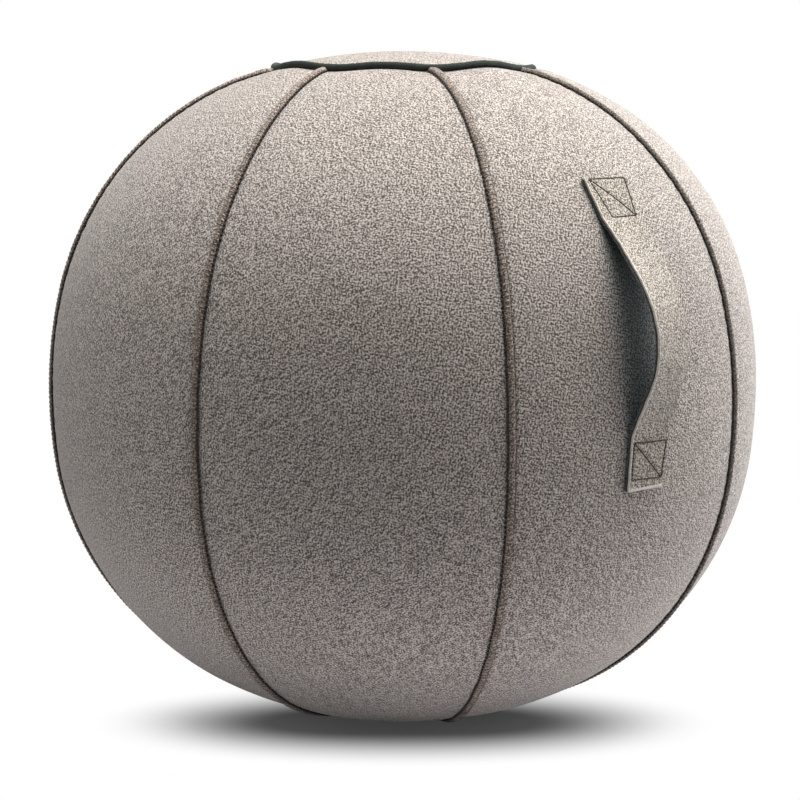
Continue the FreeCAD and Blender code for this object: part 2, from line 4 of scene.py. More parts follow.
import bpy
import numpy as np
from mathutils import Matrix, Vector


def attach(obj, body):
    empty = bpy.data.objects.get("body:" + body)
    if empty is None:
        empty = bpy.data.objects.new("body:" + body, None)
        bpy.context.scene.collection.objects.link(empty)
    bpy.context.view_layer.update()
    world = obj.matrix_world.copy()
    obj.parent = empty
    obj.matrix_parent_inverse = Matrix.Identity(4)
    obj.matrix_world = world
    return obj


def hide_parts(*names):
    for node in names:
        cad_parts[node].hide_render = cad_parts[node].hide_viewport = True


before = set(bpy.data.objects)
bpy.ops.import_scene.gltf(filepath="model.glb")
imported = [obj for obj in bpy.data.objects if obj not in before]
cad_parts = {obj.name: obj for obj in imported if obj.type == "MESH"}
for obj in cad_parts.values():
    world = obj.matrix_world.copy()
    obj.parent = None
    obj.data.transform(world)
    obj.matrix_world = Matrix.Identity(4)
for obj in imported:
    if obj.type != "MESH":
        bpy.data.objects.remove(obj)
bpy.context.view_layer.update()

# Felt-covered balance ball. Metres; azimuths are degrees from -Y towards +X, slopes are degrees that
# the cover's face looks up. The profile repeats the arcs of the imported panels.
BALL_RADIUS = 0.325
TOP_WAIST_RADIUS = 0.412
TOP_WAIST_ANGLE = 14.0
TOP_SHOULDER_RADIUS = 0.263
TOP_SHOULDER_ANGLE = 70.0
LOW_WAIST_RADIUS = 0.461
LOW_WAIST_ANGLE = 6.0
LOW_SHOULDER_RADIUS = 0.277
LOW_SHOULDER_ANGLE = 66.0
BASE_RADIUS = 0.098

GORE_COUNT = 8
GORE_ANGLE = 360.0 / GORE_COUNT
GORE_ROWS = 190
GORE_COLUMNS = 39
FELT_THICKNESS = 0.003
SEAM_HALF_GAP = 0.0013

# Rings: the cap's ring waves with the gores and dips once, at the picture's right end
RING_RADIUS = 0.118
RING_TUBE = 0.003
RING_THICKNESS = 0.0028
RING_SWELL = 1.1
RING_LIFT = 0.0006
RING_DIP = 0.0032
RING_DIP_PLACE = 60.0
RING_DIP_REACH = 26.0
BASE_RING_TUBE = 0.0025
BASE_RING_GAP = 0.0005
CROWN_SINK = 0.0012
CAP_DROP = 0.0002
CAP_PUCKER = 0.0003
CAP_PUCKER_PITCH = 0.012
CAP_PUCKER_REACH = 0.008

# Felt relief
SEAM_DIP = 0.0010
SEAM_DIP_REACH = 0.014
EDGE_DROP = 0.0013
EDGE_ROUNDING = 0.0016
PUCKER = 0.0005
PUCKER_REACH = 0.009
PUCKER_PITCH = 0.013
SWELL = 0.0005
SWELL_PITCH = 0.11
RING_WAVE = 0.0014
RING_WAVE_REACH = 0.03
RING_TUCK = 0.0016
RING_TUCK_REACH = 0.006

# Overlocked seams
WELT_STEP = 0.0010
STITCH_PITCH = 0.0042
BAR_LEVEL = 0.00005
BAR_SLANT = (0.0012, 0.0020)
BAR_JITTER = 0.08
BAR_THREAD = 0.00032
BAR_THREAD_TOP = 0.00062
CHAIN_THREAD = 0.00078
CHAIN_BEAD = 0.00046
CHAIN_ASIDE = 0.0031
CHAIN_LEVEL = 0.0001
CHAIN_SWAY = 0.0002
CHAIN_HOP = 0.0001
TOP_WIDENING = 0.45
TOP_WIDENING_REACH = 0.055
DRIFT_REACH = 0.05
WELT_FLOOR_GAP = 0.0004
BAR_FLOOR_GAP = 0.0008
CHAIN_FLOOR_GAP = 0.0013
RING_FLOOR_GAP = 0.0002

# Base
DOT_PITCH = 0.008
DOT_RADIUS = 0.0016
DOT_HEIGHT = 0.0007
BASE_TOP = 0.003
BASE_ROUNDING = 0.0006
BASE_COLUMNS = 160
DOT_COLUMNS = 12

# Handle
STRAP_STAND_OFF = 0.021
STRAP_LINING = 0.0018
STRAP_OUTER = 0.0024
STRAP_UPPER_TAB_ANGLE = 35.2
STRAP_UPPER_TAB_LENGTH = 0.038
STRAP_LOWER_TAB_DROP = 0.017
STRAP_LOWER_TAB_LENGTH = 0.046
STRAP_TOP_BEND_HEIGHT = 0.108
STRAP_LOW_BEND_HEIGHT = 0.062
STRAP_BEND_RADII = (0.016, 0.078, 0.044, 0.030)
STRAP_STEP = 0.0012
STRAP_COLUMNS = 49
STRAP_SMOOTHING = 31
STRAP_MEAN_WIDTH = 0.04
STITCH_RISE = 0.00035
STITCH_DENT = 0.0006
STITCH_DENT_REACH = 0.0011
STRAP_EDGE_REACH = 0.0009
LAYER_GAP = 0.00012
# Bands of the strap's outer face, at its left edge and lower end, that take the pale cut-edge felt as painted
# highlight
PAINTED_HIGHLIGHT_SIDE = 0.0006
PAINTED_HIGHLIGHT_END = 0.0016
BOX_THREAD = 0.0005
BOX_STITCH_SUNK = 0.0005
BOX_STITCH_PITCH = 0.0034
BOX_STITCH_BITE = 0.0029

# Zip, along the lower shoulder arc of a rear seam
ZIP_SEAM = 3
ZIP_TAPE_TOP = 7.24
ZIP_TAPE_LOW = 61.02
TEETH_TOP = 10.14
TEETH_LOW = 58.12
ZIP_SLOT_HALF = 0.006
ZIP_TAPE_HALF = 0.014
ZIP_TAPE_GAP = 0.00065
ZIP_TAPE_LEVELS = (0.00085, 0.00008)
ZIP_STITCH_PITCH = 0.0030
ZIP_STITCH_SHARE = 0.82
ZIP_STITCH_THREAD = 0.00032
ZIP_STITCH_LEVEL = 0.00075
ZIP_STITCH_PLACES = (-0.0124, -0.0072, 0.0072, 0.0124)

# Camera, fitted to the photograph's outline
CAMERA_AZIMUTH = -37.26
CAMERA_ELEVATION = 9.77
CAMERA_DISTANCE = 1.6332
CAMERA_LENS = 78.1
CAMERA_SHIFT = (-0.0044, -0.0198)

# Light: the floor is paler within the near reach, so that it lights the ball from below
WORLD_LEVEL = 0.02
WHITE = (1.0, 1.0, 1.0)
WARM_WHITE = (1.0, 0.985, 0.97)
FLOOR_SIZE = 14.0
FLOOR_COLOUR = (0.82, 0.82, 0.86)
FLOOR_FAR_SHARE = 0.36
FLOOR_NEAR = 0.40
FLOOR_FAR = 0.80

# The floor's shadow is painted into the colour that the picture sees; no lamp casts it
# Shadow on the floor: a soft oval, as wide and as deep as in the photograph, and a round one under the base
SHADOW_WIDTH = 0.56
SHADOW_DEPTH = 0.21
SHADOW_TO_CAMERA = 0.105
SHADOW_DARKNESS = 0.915
CONTACT_DARKNESS = 0.04
SHADOW_NEAR = 0.07
SHADOW_FAR = 0.17
SHADOW_SOFT_DEPTH = 0.25
SHADOW_SOFT_WIDTH = 0.42
SHADOW_END = 1.04

# Shares of open sky over the floor between which the shadow and the contact line deepen
SHADOW_OPEN = (0.75, 0.4)
CONTACT_OPEN = (0.22, 0.05)

SEED = 7


# Profile of the cover

def cosine(degrees):
    return np.cos(np.radians(degrees))


def sine(degrees):
    return np.sin(np.radians(degrees))


def side_arcs(waist_radius, waist_angle, shoulder_radius, shoulder_angle):
    """Waist, shoulder and end arc, each as (out, up, radius) of its centre, above the equator."""
    waist_out = BALL_RADIUS - waist_radius
    shoulder_out = waist_out + (waist_radius - shoulder_radius) * cosine(waist_angle)
    shoulder_up = (waist_radius - shoulder_radius) * sine(waist_angle)
    end_radius = shoulder_radius + shoulder_out / cosine(shoulder_angle)
    end_up = shoulder_up + (shoulder_radius - end_radius) * sine(shoulder_angle)
    waist = (waist_out, 0.0, waist_radius)
    shoulder = (shoulder_out, shoulder_up, shoulder_radius)
    return waist, shoulder, (0.0, end_up, end_radius)


TOP_WAIST, TOP_SHOULDER, CROWN = side_arcs(TOP_WAIST_RADIUS, TOP_WAIST_ANGLE, TOP_SHOULDER_RADIUS,
                                           TOP_SHOULDER_ANGLE)
LOW_WAIST, LOW_SHOULDER, TOE = side_arcs(LOW_WAIST_RADIUS, -LOW_WAIST_ANGLE, LOW_SHOULDER_RADIUS,
                                         -LOW_SHOULDER_ANGLE)
EQUATOR = math.sqrt(TOE[2] ** 2 - BASE_RADIUS ** 2) - TOE[1]
CENTRE = Vector((0.0, 0.0, EQUATOR))


def arc_at(slope):
    """Centre and radius of the profile's arc at each slope."""
    slope = np.asarray(slope, float)
    limits = [slope > TOP_SHOULDER_ANGLE, slope > TOP_WAIST_ANGLE, slope > 0.0, slope > -LOW_WAIST_ANGLE,
              slope > -LOW_SHOULDER_ANGLE]
    arcs = (CROWN, TOP_SHOULDER, TOP_WAIST, LOW_WAIST, LOW_SHOULDER)
    return [np.select(limits, [arc[part] for arc in arcs], TOE[part]) for part in range(3)]


def profile(slope, lift=0.0):
    """Distance out from the axis and height of the cover's face, lifted square to it."""
    out, up, radius = arc_at(slope)
    return out + (radius + lift) * cosine(slope), EQUATOR + up + (radius + lift) * sine(slope)


def on_ball(azimuth, slope, lift=0.0, aside=0.0):
    """Points of the cover, shifted aside towards larger azimuths."""
    out, up = profile(slope, lift)
    x = out * sine(azimuth) + aside * cosine(azimuth)
    y = -out * cosine(azimuth) + aside * sine(azimuth)
    return np.stack(np.broadcast_arrays(x, y, up), axis=-1)


def run_table():
    """Slopes from the apex down to the toe and the length of the profile down to each."""
    slopes = np.linspace(90.0, -89.0, 4000)
    out, up = profile(slopes)
    steps = np.hypot(np.diff(out), np.diff(up))
    return slopes, np.concatenate([[0.0], np.cumsum(steps)])


TABLE_SLOPES, TABLE_RUNS = run_table()


def run_of(slope):
    return np.interp(-np.asarray(slope, float), -TABLE_SLOPES, TABLE_RUNS)


def slope_of(run):
    return np.interp(run, TABLE_RUNS, TABLE_SLOPES)


# Runs at the gores' upper and lower edges and at the zip's ends
RUN_TOP = float(run_of(math.degrees(math.acos((RING_RADIUS + RING_TUBE) / CROWN[2]))))
RUN_LOW = float(run_of(-math.degrees(math.acos((BASE_RADIUS + 2 * BASE_RING_TUBE) / TOE[2]))))
ZIP_RUN_TOP = float(run_of(-ZIP_TAPE_TOP))
ZIP_RUN_LOW = float(run_of(-ZIP_TAPE_LOW))


def seam_azimuth(index):
    return GORE_ANGLE * (index + 0.5)


# Degrees by which a seam's upper and lower end drift along the rings
TOP_DRIFT = {5: -1.0, 6: -4.4, 7: -2.8, 0: 0.6, 2: 2.0, 4: -1.5}
LOW_DRIFT = {5: -2.0, 6: -6.0, 7: 5.2, 1: -1.6, 3: 1.2}


def seam_drift(index, run):
    index = index % GORE_COUNT
    run = np.asarray(run, float)
    top = TOP_DRIFT.get(index, 0.0) * np.exp(-(run - RUN_TOP) / DRIFT_REACH)
    low = LOW_DRIFT.get(index, 0.0) * np.exp(-(RUN_LOW - run) / DRIFT_REACH)
    return top + low


# Smooth uneven waves, the same on every run

def bell(distance, reach):
    """One at no distance, falling smoothly to nothing past the reach."""
    return np.exp(-((distance / reach) ** 2))


def ripple(place, pitch, seed):
    """Uneven wave of about this pitch along a line, between -1 and 1."""
    draw = random.Random(seed)
    total = 0.0
    for share in (0.5, 0.3, 0.2):
        frequency = draw.uniform(0.75, 1.35) * (1.6 - share) / pitch
        total = total + share * np.sin(2 * np.pi * frequency * np.asarray(place) + draw.uniform(0, 2 * np.pi))
    return total


def swell(points, pitch, seed):
    """Uneven wave of about this pitch in space, between -1 and 1."""
    draw = random.Random(seed)
    total = 0.0
    waves = 6
    for _ in range(waves):
        direction = Vector((draw.gauss(0, 1), draw.gauss(0, 1), draw.gauss(0, 1))).normalized()
        phase = points @ np.array(direction) * (2 * np.pi / pitch * draw.uniform(0.7, 1.4))
        total = total + np.sin(phase + draw.uniform(0, 2 * np.pi))
    return total / waves


def ring_rise(azimuth):
    """Rise of the cap's ring: up between the seams, where the gores puff, and down at the seams."""
    turn = np.radians(azimuth)
    uneven = 0.35 * np.sin(3 * turn + 0.6) + 0.25 * np.sin(5 * turn + 2.1)
    return RING_WAVE * (np.cos(GORE_COUNT * turn) + uneven)


# Meshes: faces are blocks, each an array with one face's points in a row

def grid_block(rows, columns, close_rows=False, close_columns=False):
    """Quads of a grid of points."""
    row = np.arange(rows if close_rows else rows - 1)[:, None]
    column = np.arange(columns if close_columns else columns - 1)[None, :]
    next_row = (row + 1) % rows
    next_column = (column + 1) % columns
    corners = (row * columns + column, next_row * columns + column, next_row * columns + next_column,
               row * columns + next_column)
    return np.stack(np.broadcast_arrays(*corners), axis=-1).reshape(-1, 4)


def prism_blocks(count, length, sides):
    """Walls and end caps of closed prisms, each a length of rings of points."""
    starts = np.arange(count)[:, None, None] * length * sides
    walls = (starts + grid_block(length, sides, close_columns=True)[None]).reshape(-1, 4)
    cap = starts[:, :, 0] + np.arange(sides)[None, :]
    return [walls, cap, cap[:, ::-1] + (length - 1) * sides]


def enclosed_volume(points, blocks):
    total = 0.0
    for block in blocks:
        first = points[block[:, 0]]
        for step in range(1, block.shape[1] - 1):
            across = np.cross(points[block[:, step]], points[block[:, step + 1]])
            total += np.einsum("ij,ij->i", first, across).sum()
    return total


def placed(name, data):
    """New object in the scene."""
    made = bpy.data.objects.new(name, data)
    bpy.context.scene.collection.objects.link(made)
    return made


def mesh_object(name, points, blocks, materials, kinds=None, smooth=True):
    """Object of closed surfaces that face outwards; kinds gives each block's material."""
    points = np.asarray(points, float).reshape(-1, 3)
    if enclosed_volume(points, blocks) < 0:
        blocks = [block[:, ::-1] for block in blocks]
    sizes = np.concatenate([np.full(len(block), block.shape[1]) for block in blocks])
    loops = np.concatenate([block.ravel() for block in blocks])
    mesh = bpy.data.meshes.new(name)
    mesh.vertices.add(len(points))
    mesh.vertices.foreach_set("co", points.ravel())
    mesh.loops.add(len(loops))
    mesh.loops.foreach_set("vertex_index", loops)
    mesh.polygons.add(len(sizes))
    mesh.polygons.foreach_set("loop_start", np.concatenate([[0], np.cumsum(sizes)[:-1]]))
    mesh.polygons.foreach_set("loop_total", sizes)
    for material in materials:
        mesh.materials.append(material)
    if kinds is not None:
        mesh.polygons.foreach_set("material_index", np.repeat(kinds, [len(block) for block in blocks]))
    mesh.update(calc_edges=True)
    mesh.polygons.foreach_set("use_smooth", np.full(len(sizes), smooth))
    return placed(name, mesh)


def enter(made, node=None):
    """Fix an object to the ball and hide the CAD node that it replaces, if any."""
    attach(made, "ball")
    if node is not None:
        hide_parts(node)


def border(rows, columns):
    """Indices round a grid's edge, in order."""
    grid = np.arange(rows * columns).reshape(rows, columns)
    return np.concatenate([grid[0, :-1], grid[:-1, -1], grid[-1, :0:-1], grid[:0:-1, 0]])


def closed_sheet(outer, inner, face, here):
    """Points and blocks of a sheet from two grids of points, closed by a rim along the indices here."""
    count = outer.shape[0] * outer.shape[1]
    after = np.roll(here, -1)
    rim = np.stack([here, after, after + count, here + count], axis=1)
    points = np.concatenate([outer.reshape(-1, 3), inner.reshape(-1, 3)])
    return points, [face, face[:, ::-1] + count, rim]


def shell_object(name, outer, inner, materials, edge_material=0, pale=None):
    """Closed sheet with four edges; pale marks outer faces that have the edge's material."""
    rows, columns = outer.shape[:2]
    points, (face, back, rim) = closed_sheet(outer, inner, grid_block(rows, columns), border(rows, columns))
    if pale is None:
        pale = np.zeros(len(face), bool)
    blocks = [face[~pale], back, rim, face[pale]]
    return mesh_object(name, points, blocks, materials, [0, 0, edge_material, edge_material])


def unit(vectors):
    return vectors / np.linalg.norm(vectors, axis=-1, keepdims=True)


def tubes(paths, radius, sides=6):
    """Points and blocks of closed round tubes along paths, an array of paths by points by 3."""
    count, length = paths.shape[:2]
    along = unit(np.gradient(paths, axis=1))
    first = unit(np.cross(along, paths - np.array(CENTRE)))
    second = np.cross(along, first)
    turn = 2 * np.pi * np.arange(sides) / sides
    ring = np.cos(turn)[:, None] * first[:, :, None, :] + np.sin(turn)[:, None] * second[:, :, None, :]
    points = paths[:, :, None, :] + radius * ring
    return points.reshape(-1, 3), prism_blocks(count, length, sides)


def joined(parts):
    """One set of points and blocks from several."""
    points = []
    blocks = []
    first = 0
    for part_points, part_blocks in parts:
        points.append(part_points)
        blocks.extend(block + first for block in part_blocks)
        first += len(part_points)
    return np.concatenate(points), blocks


# Materials

class Nodes:
    """Shader nodes of a material or a world, made one after another."""

    def __init__(self, owner):
        self.owner = owner
        owner.use_nodes = True
        self.tree = owner.node_tree

    def node(self, kind, inputs=None, **settings):
        made = self.tree.nodes.new("ShaderNode" + kind)
        for name, value in settings.items():
            setattr(made, name, value)
        for name, value in (inputs or {}).items():
            self.feed(made, name, value)
        return made

    def feed(self, node, name, value):
        if isinstance(value, bpy.types.NodeSocket):
            self.tree.links.new(value, node.inputs[name])
        else:
            node.inputs[name].default_value = value

    def math(self, operation, first, second=0.0, third=0.0):
        inputs = {0: first, 1: second, 2: third}
        return self.node("Math", inputs, operation=operation).outputs[0]

    def place(self, rotation=(0.0, 0.0, 0.0)):
        """The object's own coordinates, turned."""
        coordinates = self.node("TexCoord").outputs["Object"]
        return self.node("Mapping", {"Vector": coordinates, "Rotation": rotation}).outputs[0]

    def noise(self, vector, scale, detail=2.0, roughness=0.5):
        inputs = {"Vector": vector, "Scale": scale, "Detail": detail, "Roughness": roughness}
        return self.node("TexNoise", inputs).outputs[0]

    def stretch(self, value, low, high, to_low=0.0, to_high=1.0):
        inputs = {0: value, 1: low, 2: high, 3: to_low, 4: to_high}
        return self.node("MapRange", inputs).outputs[0]

    def soft_step(self, value, start, end):
        """One below the start, fading softly to nothing at the end."""
        inputs = {0: value, 1: start, 2: end, 3: 1.0, 4: 0.0}
        return self.node("MapRange", inputs, interpolation_type="SMOOTHSTEP").outputs[0]

    def mix(self, factor, first, second, blend="MIX"):
        made = self.node("Mix", data_type="RGBA", blend_type=blend)
        for name, value in ((0, factor), (6, first), (7, second)):
            self.feed(made, name, value)
        return made.outputs[2]

    def bump(self, height, strength, distance):
        inputs = {"Height": height, "Strength": strength, "Distance": distance}
        return self.node("Bump", inputs).outputs[0]

    def seen_directly(self):
        """One for what the camera or a gloss sees, nothing for light that falls on things."""
        sees = self.node("LightPath")
        return self.math("MAXIMUM", sees.outputs["Is Camera Ray"], sees.outputs["Is Glossy Ray"])

    def finish(self, color, roughness, normal=None, **sockets):
        shader = self.tree.nodes["Principled BSDF"]
        self.feed(shader, "Base Color", color)
        self.feed(shader, "Roughness", roughness)
        if normal is not None:
            self.feed(shader, "Normal", normal)
        for name, value in sockets.items():
            self.feed(shader, name.replace("_", " "), value)
        return self.owner


def new_nodes(name):
    """Nodes of a new material."""
    return Nodes(bpy.data.materials.new(name))


def rgb(red, green, blue):
    """Colour from sRGB levels of 0 to 255."""
    levels = [level / 255 for level in (red, green, blue)]
    return tuple(v / 12.92 if v <= 0.04045 else ((v + 0.055) / 1.055) ** 2.4 for v in levels) + (1.0,)


FIBRE_SCALE = 760.0
FIBRE_TURN = (0.5, 0.4, 0.3)
FIBRE_STEP = 0.0016
FIBRE_STEPS = ((0, 0, 0), (FIBRE_STEP, 0, 0), (0, FIBRE_STEP, 0), (0, 0, FIBRE_STEP))
GRAIN_MIDDLE = 0.49
GRAIN_LIGHT = 0.76
GRAIN_DARK = 0.22

# Painted shade where something stands close over the felt: reach of the shade, shares of open sky at which it
# starts and is full, heights at which it fades in
PAINTED_SHADE_REACH = 0.05
PAINTED_SHADE_OPEN = (0.84, 0.52)
PAINTED_SHADE_HEIGHTS = (0.20, 0.26)


def felt(name, middle, light, dark, contrast=1.0, painted_shade_colour=None):
    """Pressed wool with light and dark fibres; a painted shade colour darkens it where something stands
    close.
    """
    n = new_nodes(name)
    place = n.place(FIBRE_TURN)
    moved = [n.node("VectorMath", {0: place, 1: step}).outputs[0] for step in FIBRE_STEPS]
    here, *beside = [n.noise(point, FIBRE_SCALE, 0.0) for point in moved]
    around = n.math("ADD", n.math("ADD", beside[0], beside[1]), beside[2])
    grain = n.math("MULTIPLY_ADD", n.math("SUBTRACT", n.math("MULTIPLY", here, 3.0), around), 0.4, 0.5)
    patches = n.noise(n.place(), 26.0, 3.0, 0.55)
    cooler = tuple(c * share for c, share in zip(middle, (0.93, 0.95, 0.97, 1.0)))
    tint = n.mix(n.stretch(patches, 0.3, 0.7), middle, cooler)
    lit = n.mix(n.stretch(grain, GRAIN_MIDDLE, GRAIN_LIGHT, 0.0, contrast), tint, light)
    full = n.mix(n.stretch(grain, GRAIN_MIDDLE, GRAIN_DARK, 0.0, contrast), lit, dark)
    # Painted shade: the colour darkens where little open sky is near, as under the handle's strap
    if painted_shade_colour is not None:
        open_share = n.node("AmbientOcclusion", {"Distance": PAINTED_SHADE_REACH}, samples=8).outputs["AO"]
        height = n.node("SeparateXYZ", {0: n.node("TexCoord").outputs["Object"]}).outputs["Z"]
        above = n.stretch(height, *PAINTED_SHADE_HEIGHTS)
        painted_shade_share = n.math("MULTIPLY", n.stretch(open_share, *PAINTED_SHADE_OPEN), above)
        full = n.mix(painted_shade_share, full, painted_shade_colour, "MULTIPLY")
    fuzz = n.noise(n.place(), 1500.0, 2.0, 0.6)
    normal = n.bump(n.math("MULTIPLY_ADD", fuzz, 0.25, grain), 0.5, 0.0005)
    return n.finish(full, 0.95, normal, Sheen_Weight=0.25, Sheen_Roughness=0.6, Specular_IOR_Level=0.12)


def thread(name, color):
    """Twisted sewing thread."""
    n = new_nodes(name)
    wave = {"Vector": n.place(), "Scale": 900.0, "Distortion": 1.5, "Detail": 1.0}
    twist = n.node("TexWave", wave, bands_direction="DIAGONAL").outputs[1]
    lint = n.noise(n.place(), 420.0)
    deep = tuple(c * 0.55 for c in color[:3]) + (1.0,)
    shade = n.mix(n.stretch(lint, 0.3, 0.7), deep, color)
    normal = n.bump(twist, 0.5, 0.0003)
    return n.finish(shade, 0.6, normal, Specular_IOR_Level=0.25, Sheen_Weight=0.15)


def woven(name, color, light, pitch, glow=0.2, sheen=0.1):
    """Close plain weave of the given pitch."""
    n = new_nodes(name)
    cell = 2 * math.pi / pitch / 20
    bands = [n.node("TexWave", {"Vector": n.place(turn), "Scale": cell, "Distortion": 0.6},
                    bands_direction="Z").outputs[1] for turn in ((0.8, 0.0, 0.0), (-0.8, 0.0, 0.0))]
    weave = n.math("MULTIPLY", bands[0], bands[1])
    dust = n.noise(n.place(), 90.0, 3.0, 0.6)
    shade = n.mix(n.stretch(weave, 0.1, 0.8), color, light)
    worn = n.mix(n.stretch(dust, 0.45, 0.75, 0.0, 0.4), shade, light)
    normal = n.bump(weave, 0.4, 0.0003)
    return n.finish(worn, 0.75, normal, Specular_IOR_Level=glow, Sheen_Weight=sheen)


def moulded(name, color, roughness, grain=700.0, metallic=0.0):
    """Moulded plastic, rubber, vinyl or cast metal with a fine grain and slight wear."""
    n = new_nodes(name)
    fine = n.noise(n.place(), grain, 3.0, 0.6)
    broad = n.noise(n.place(), 35.0, 4.0, 0.6)
    lighter = tuple(min(1.0, c * 1.35 + 0.01) for c in color[:3]) + (1.0,)
    shade = n.mix(n.stretch(broad, 0.4, 0.8, 0.0, 0.6), color, lighter)
    gloss = n.stretch(broad, 0.3, 0.7, roughness * 0.85, min(1.0, roughness * 1.15))
    return n.finish(shade, gloss, n.bump(fine, 0.25, 0.0002), Metallic=metallic)


MELANGE = (rgb(160, 151, 144), rgb(220, 210, 201), rgb(86, 78, 72))
FELT = felt("felt_melange", *MELANGE)
# The gore behind the handle has painted shade under the strap
HANDLE_GORE_FELT_PAINTED_SHADE = felt("felt_behind_handle_painted_shade", *MELANGE, painted_shade_colour=(0.27, 0.35, 0.39, 1.0))
STRAP_FELT = felt("felt_strap", rgb(160, 151, 140), rgb(214, 205, 192), rgb(84, 75, 66))
# Pale felt of the strap's cut edges: partly the cut felt's own paler core, partly painted highlight where
# light catches them
CUT_EDGE_AND_HIGHLIGHT = felt("felt_cut_edge_and_highlight", rgb(232, 224, 212), rgb(244, 238, 230), rgb(186, 176, 164), 0.6)
WELT_FELT = felt("felt_welt", rgb(142, 128, 117), rgb(192, 178, 166), rgb(74, 64, 56))
# Darker copy of the welt felt: painted shade on the first seam's ridge, which is seen from its shaded side
WELT_FELT_PAINTED_SHADE = felt("felt_welt_painted_shade", rgb(112, 104, 94), rgb(150, 141, 130), rgb(62, 56, 50))
# Lining felt in a shaded colour: where it stands out past the outer felt it draws a dark line of painted
# shade beside the strap
LINING_FELT_PAINTED_SHADE = felt("felt_lining", rgb(62, 64, 61), rgb(88, 90, 86), rgb(38, 40, 38), 0.7)
# Lighter copy of the lining felt for its rim: painted highlight where light catches the edge
LINING_EDGE_PAINTED_HIGHLIGHT = felt("felt_lining_edge_painted_highlight", rgb(92, 90, 86), rgb(118, 116, 110), rgb(60, 58, 55), 0.7)
# Near-black felt for the gores' cut edges under the seams: painted shade of the groove beside each ridge
GROOVE_PAINTED_SHADE = felt("felt_groove_painted_shade", rgb(30, 27, 24), rgb(48, 44, 39), rgb(16, 14, 13), 0.6)
BROWN_THREAD = thread("thread_brown", rgb(112, 90, 76))
BLACK_THREAD = thread("thread_black", rgb(40, 35, 31))
DARK_THREAD = thread("thread_dark", rgb(66, 56, 46))
PIPING = woven("piping_cloth", rgb(54, 60, 57), rgb(78, 86, 81), 0.0009, glow=0.05, sheen=0.0)
ZIP_TAPE = woven("zip_tape_cloth", rgb(38, 37, 36), rgb(62, 60, 58), 0.0008)
BASE_CLOTH = woven("base_cloth", rgb(33, 33, 34), rgb(52, 52, 53), 0.0012)
RUBBER = moulded("base_rubber", rgb(40, 40, 42), 0.8)
BALLAST = moulded("ballast_cloth", rgb(52, 52, 52), 0.85, 400.0)
VINYL = moulded("bladder_vinyl", rgb(112, 115, 117), 0.42, 240.0)
VALVE = moulded("valve_plastic", rgb(120, 122, 124), 0.5)
PLUG = moulded("plug_plastic", rgb(228, 227, 223), 0.4)
ZIP_PLASTIC = moulded("zip_plastic", rgb(36, 36, 37), 0.45)
ZIP_METAL = moulded("zip_metal", rgb(92, 92, 94), 0.35, 900.0, metallic=0.9)


# Gores

# Gores beside the zip and the side on which each has it
ZIP_GORES = {ZIP_SEAM: 1, ZIP_SEAM + 1: -1}
ZIP_BLEND = 0.004
TAPE_BLEND = 0.01
TAPE_REACH = 0.03

# Felt held flat under the handle's tabs, in degrees
LOWER_TAB_SLOPE = -2.2
TAB_REACH_ASIDE = 6.0
TAB_REACH_ALONG = 7.0


def zip_share(run, spare, blend):
    """One along the zip and a spare length past it, blending to nothing at the ends."""
    after_top = np.clip((run - ZIP_RUN_TOP + spare) / blend, 0, 1)
    return after_top * np.clip((ZIP_RUN_LOW + spare - run) / blend, 0, 1)


def seam_half_gap(index, side, run):
    """Half width left free for the seam's welt, or for the zip where it lies."""
    run = np.asarray(run, float)
    if ZIP_GORES.get(index) != side:
        return np.full(run.shape, SEAM_HALF_GAP)
    return SEAM_HALF_GAP + (ZIP_SLOT_HALF - SEAM_HALF_GAP) * zip_share(run, 0.0, ZIP_BLEND)


def handle_mask(index, angle, slope):
    """One under the handle's sewn tabs, falling to nothing around them."""
    if index != 0:
        return 0.0
    aside = np.exp(-((angle / TAB_REACH_ASIDE) ** 4))
    upper, lower = [np.exp(-(((slope - tab) / TAB_REACH_ALONG) ** 4))
                    for tab in (STRAP_UPPER_TAB_ANGLE, LOWER_TAB_SLOPE)]
    return aside * np.maximum(upper, lower)


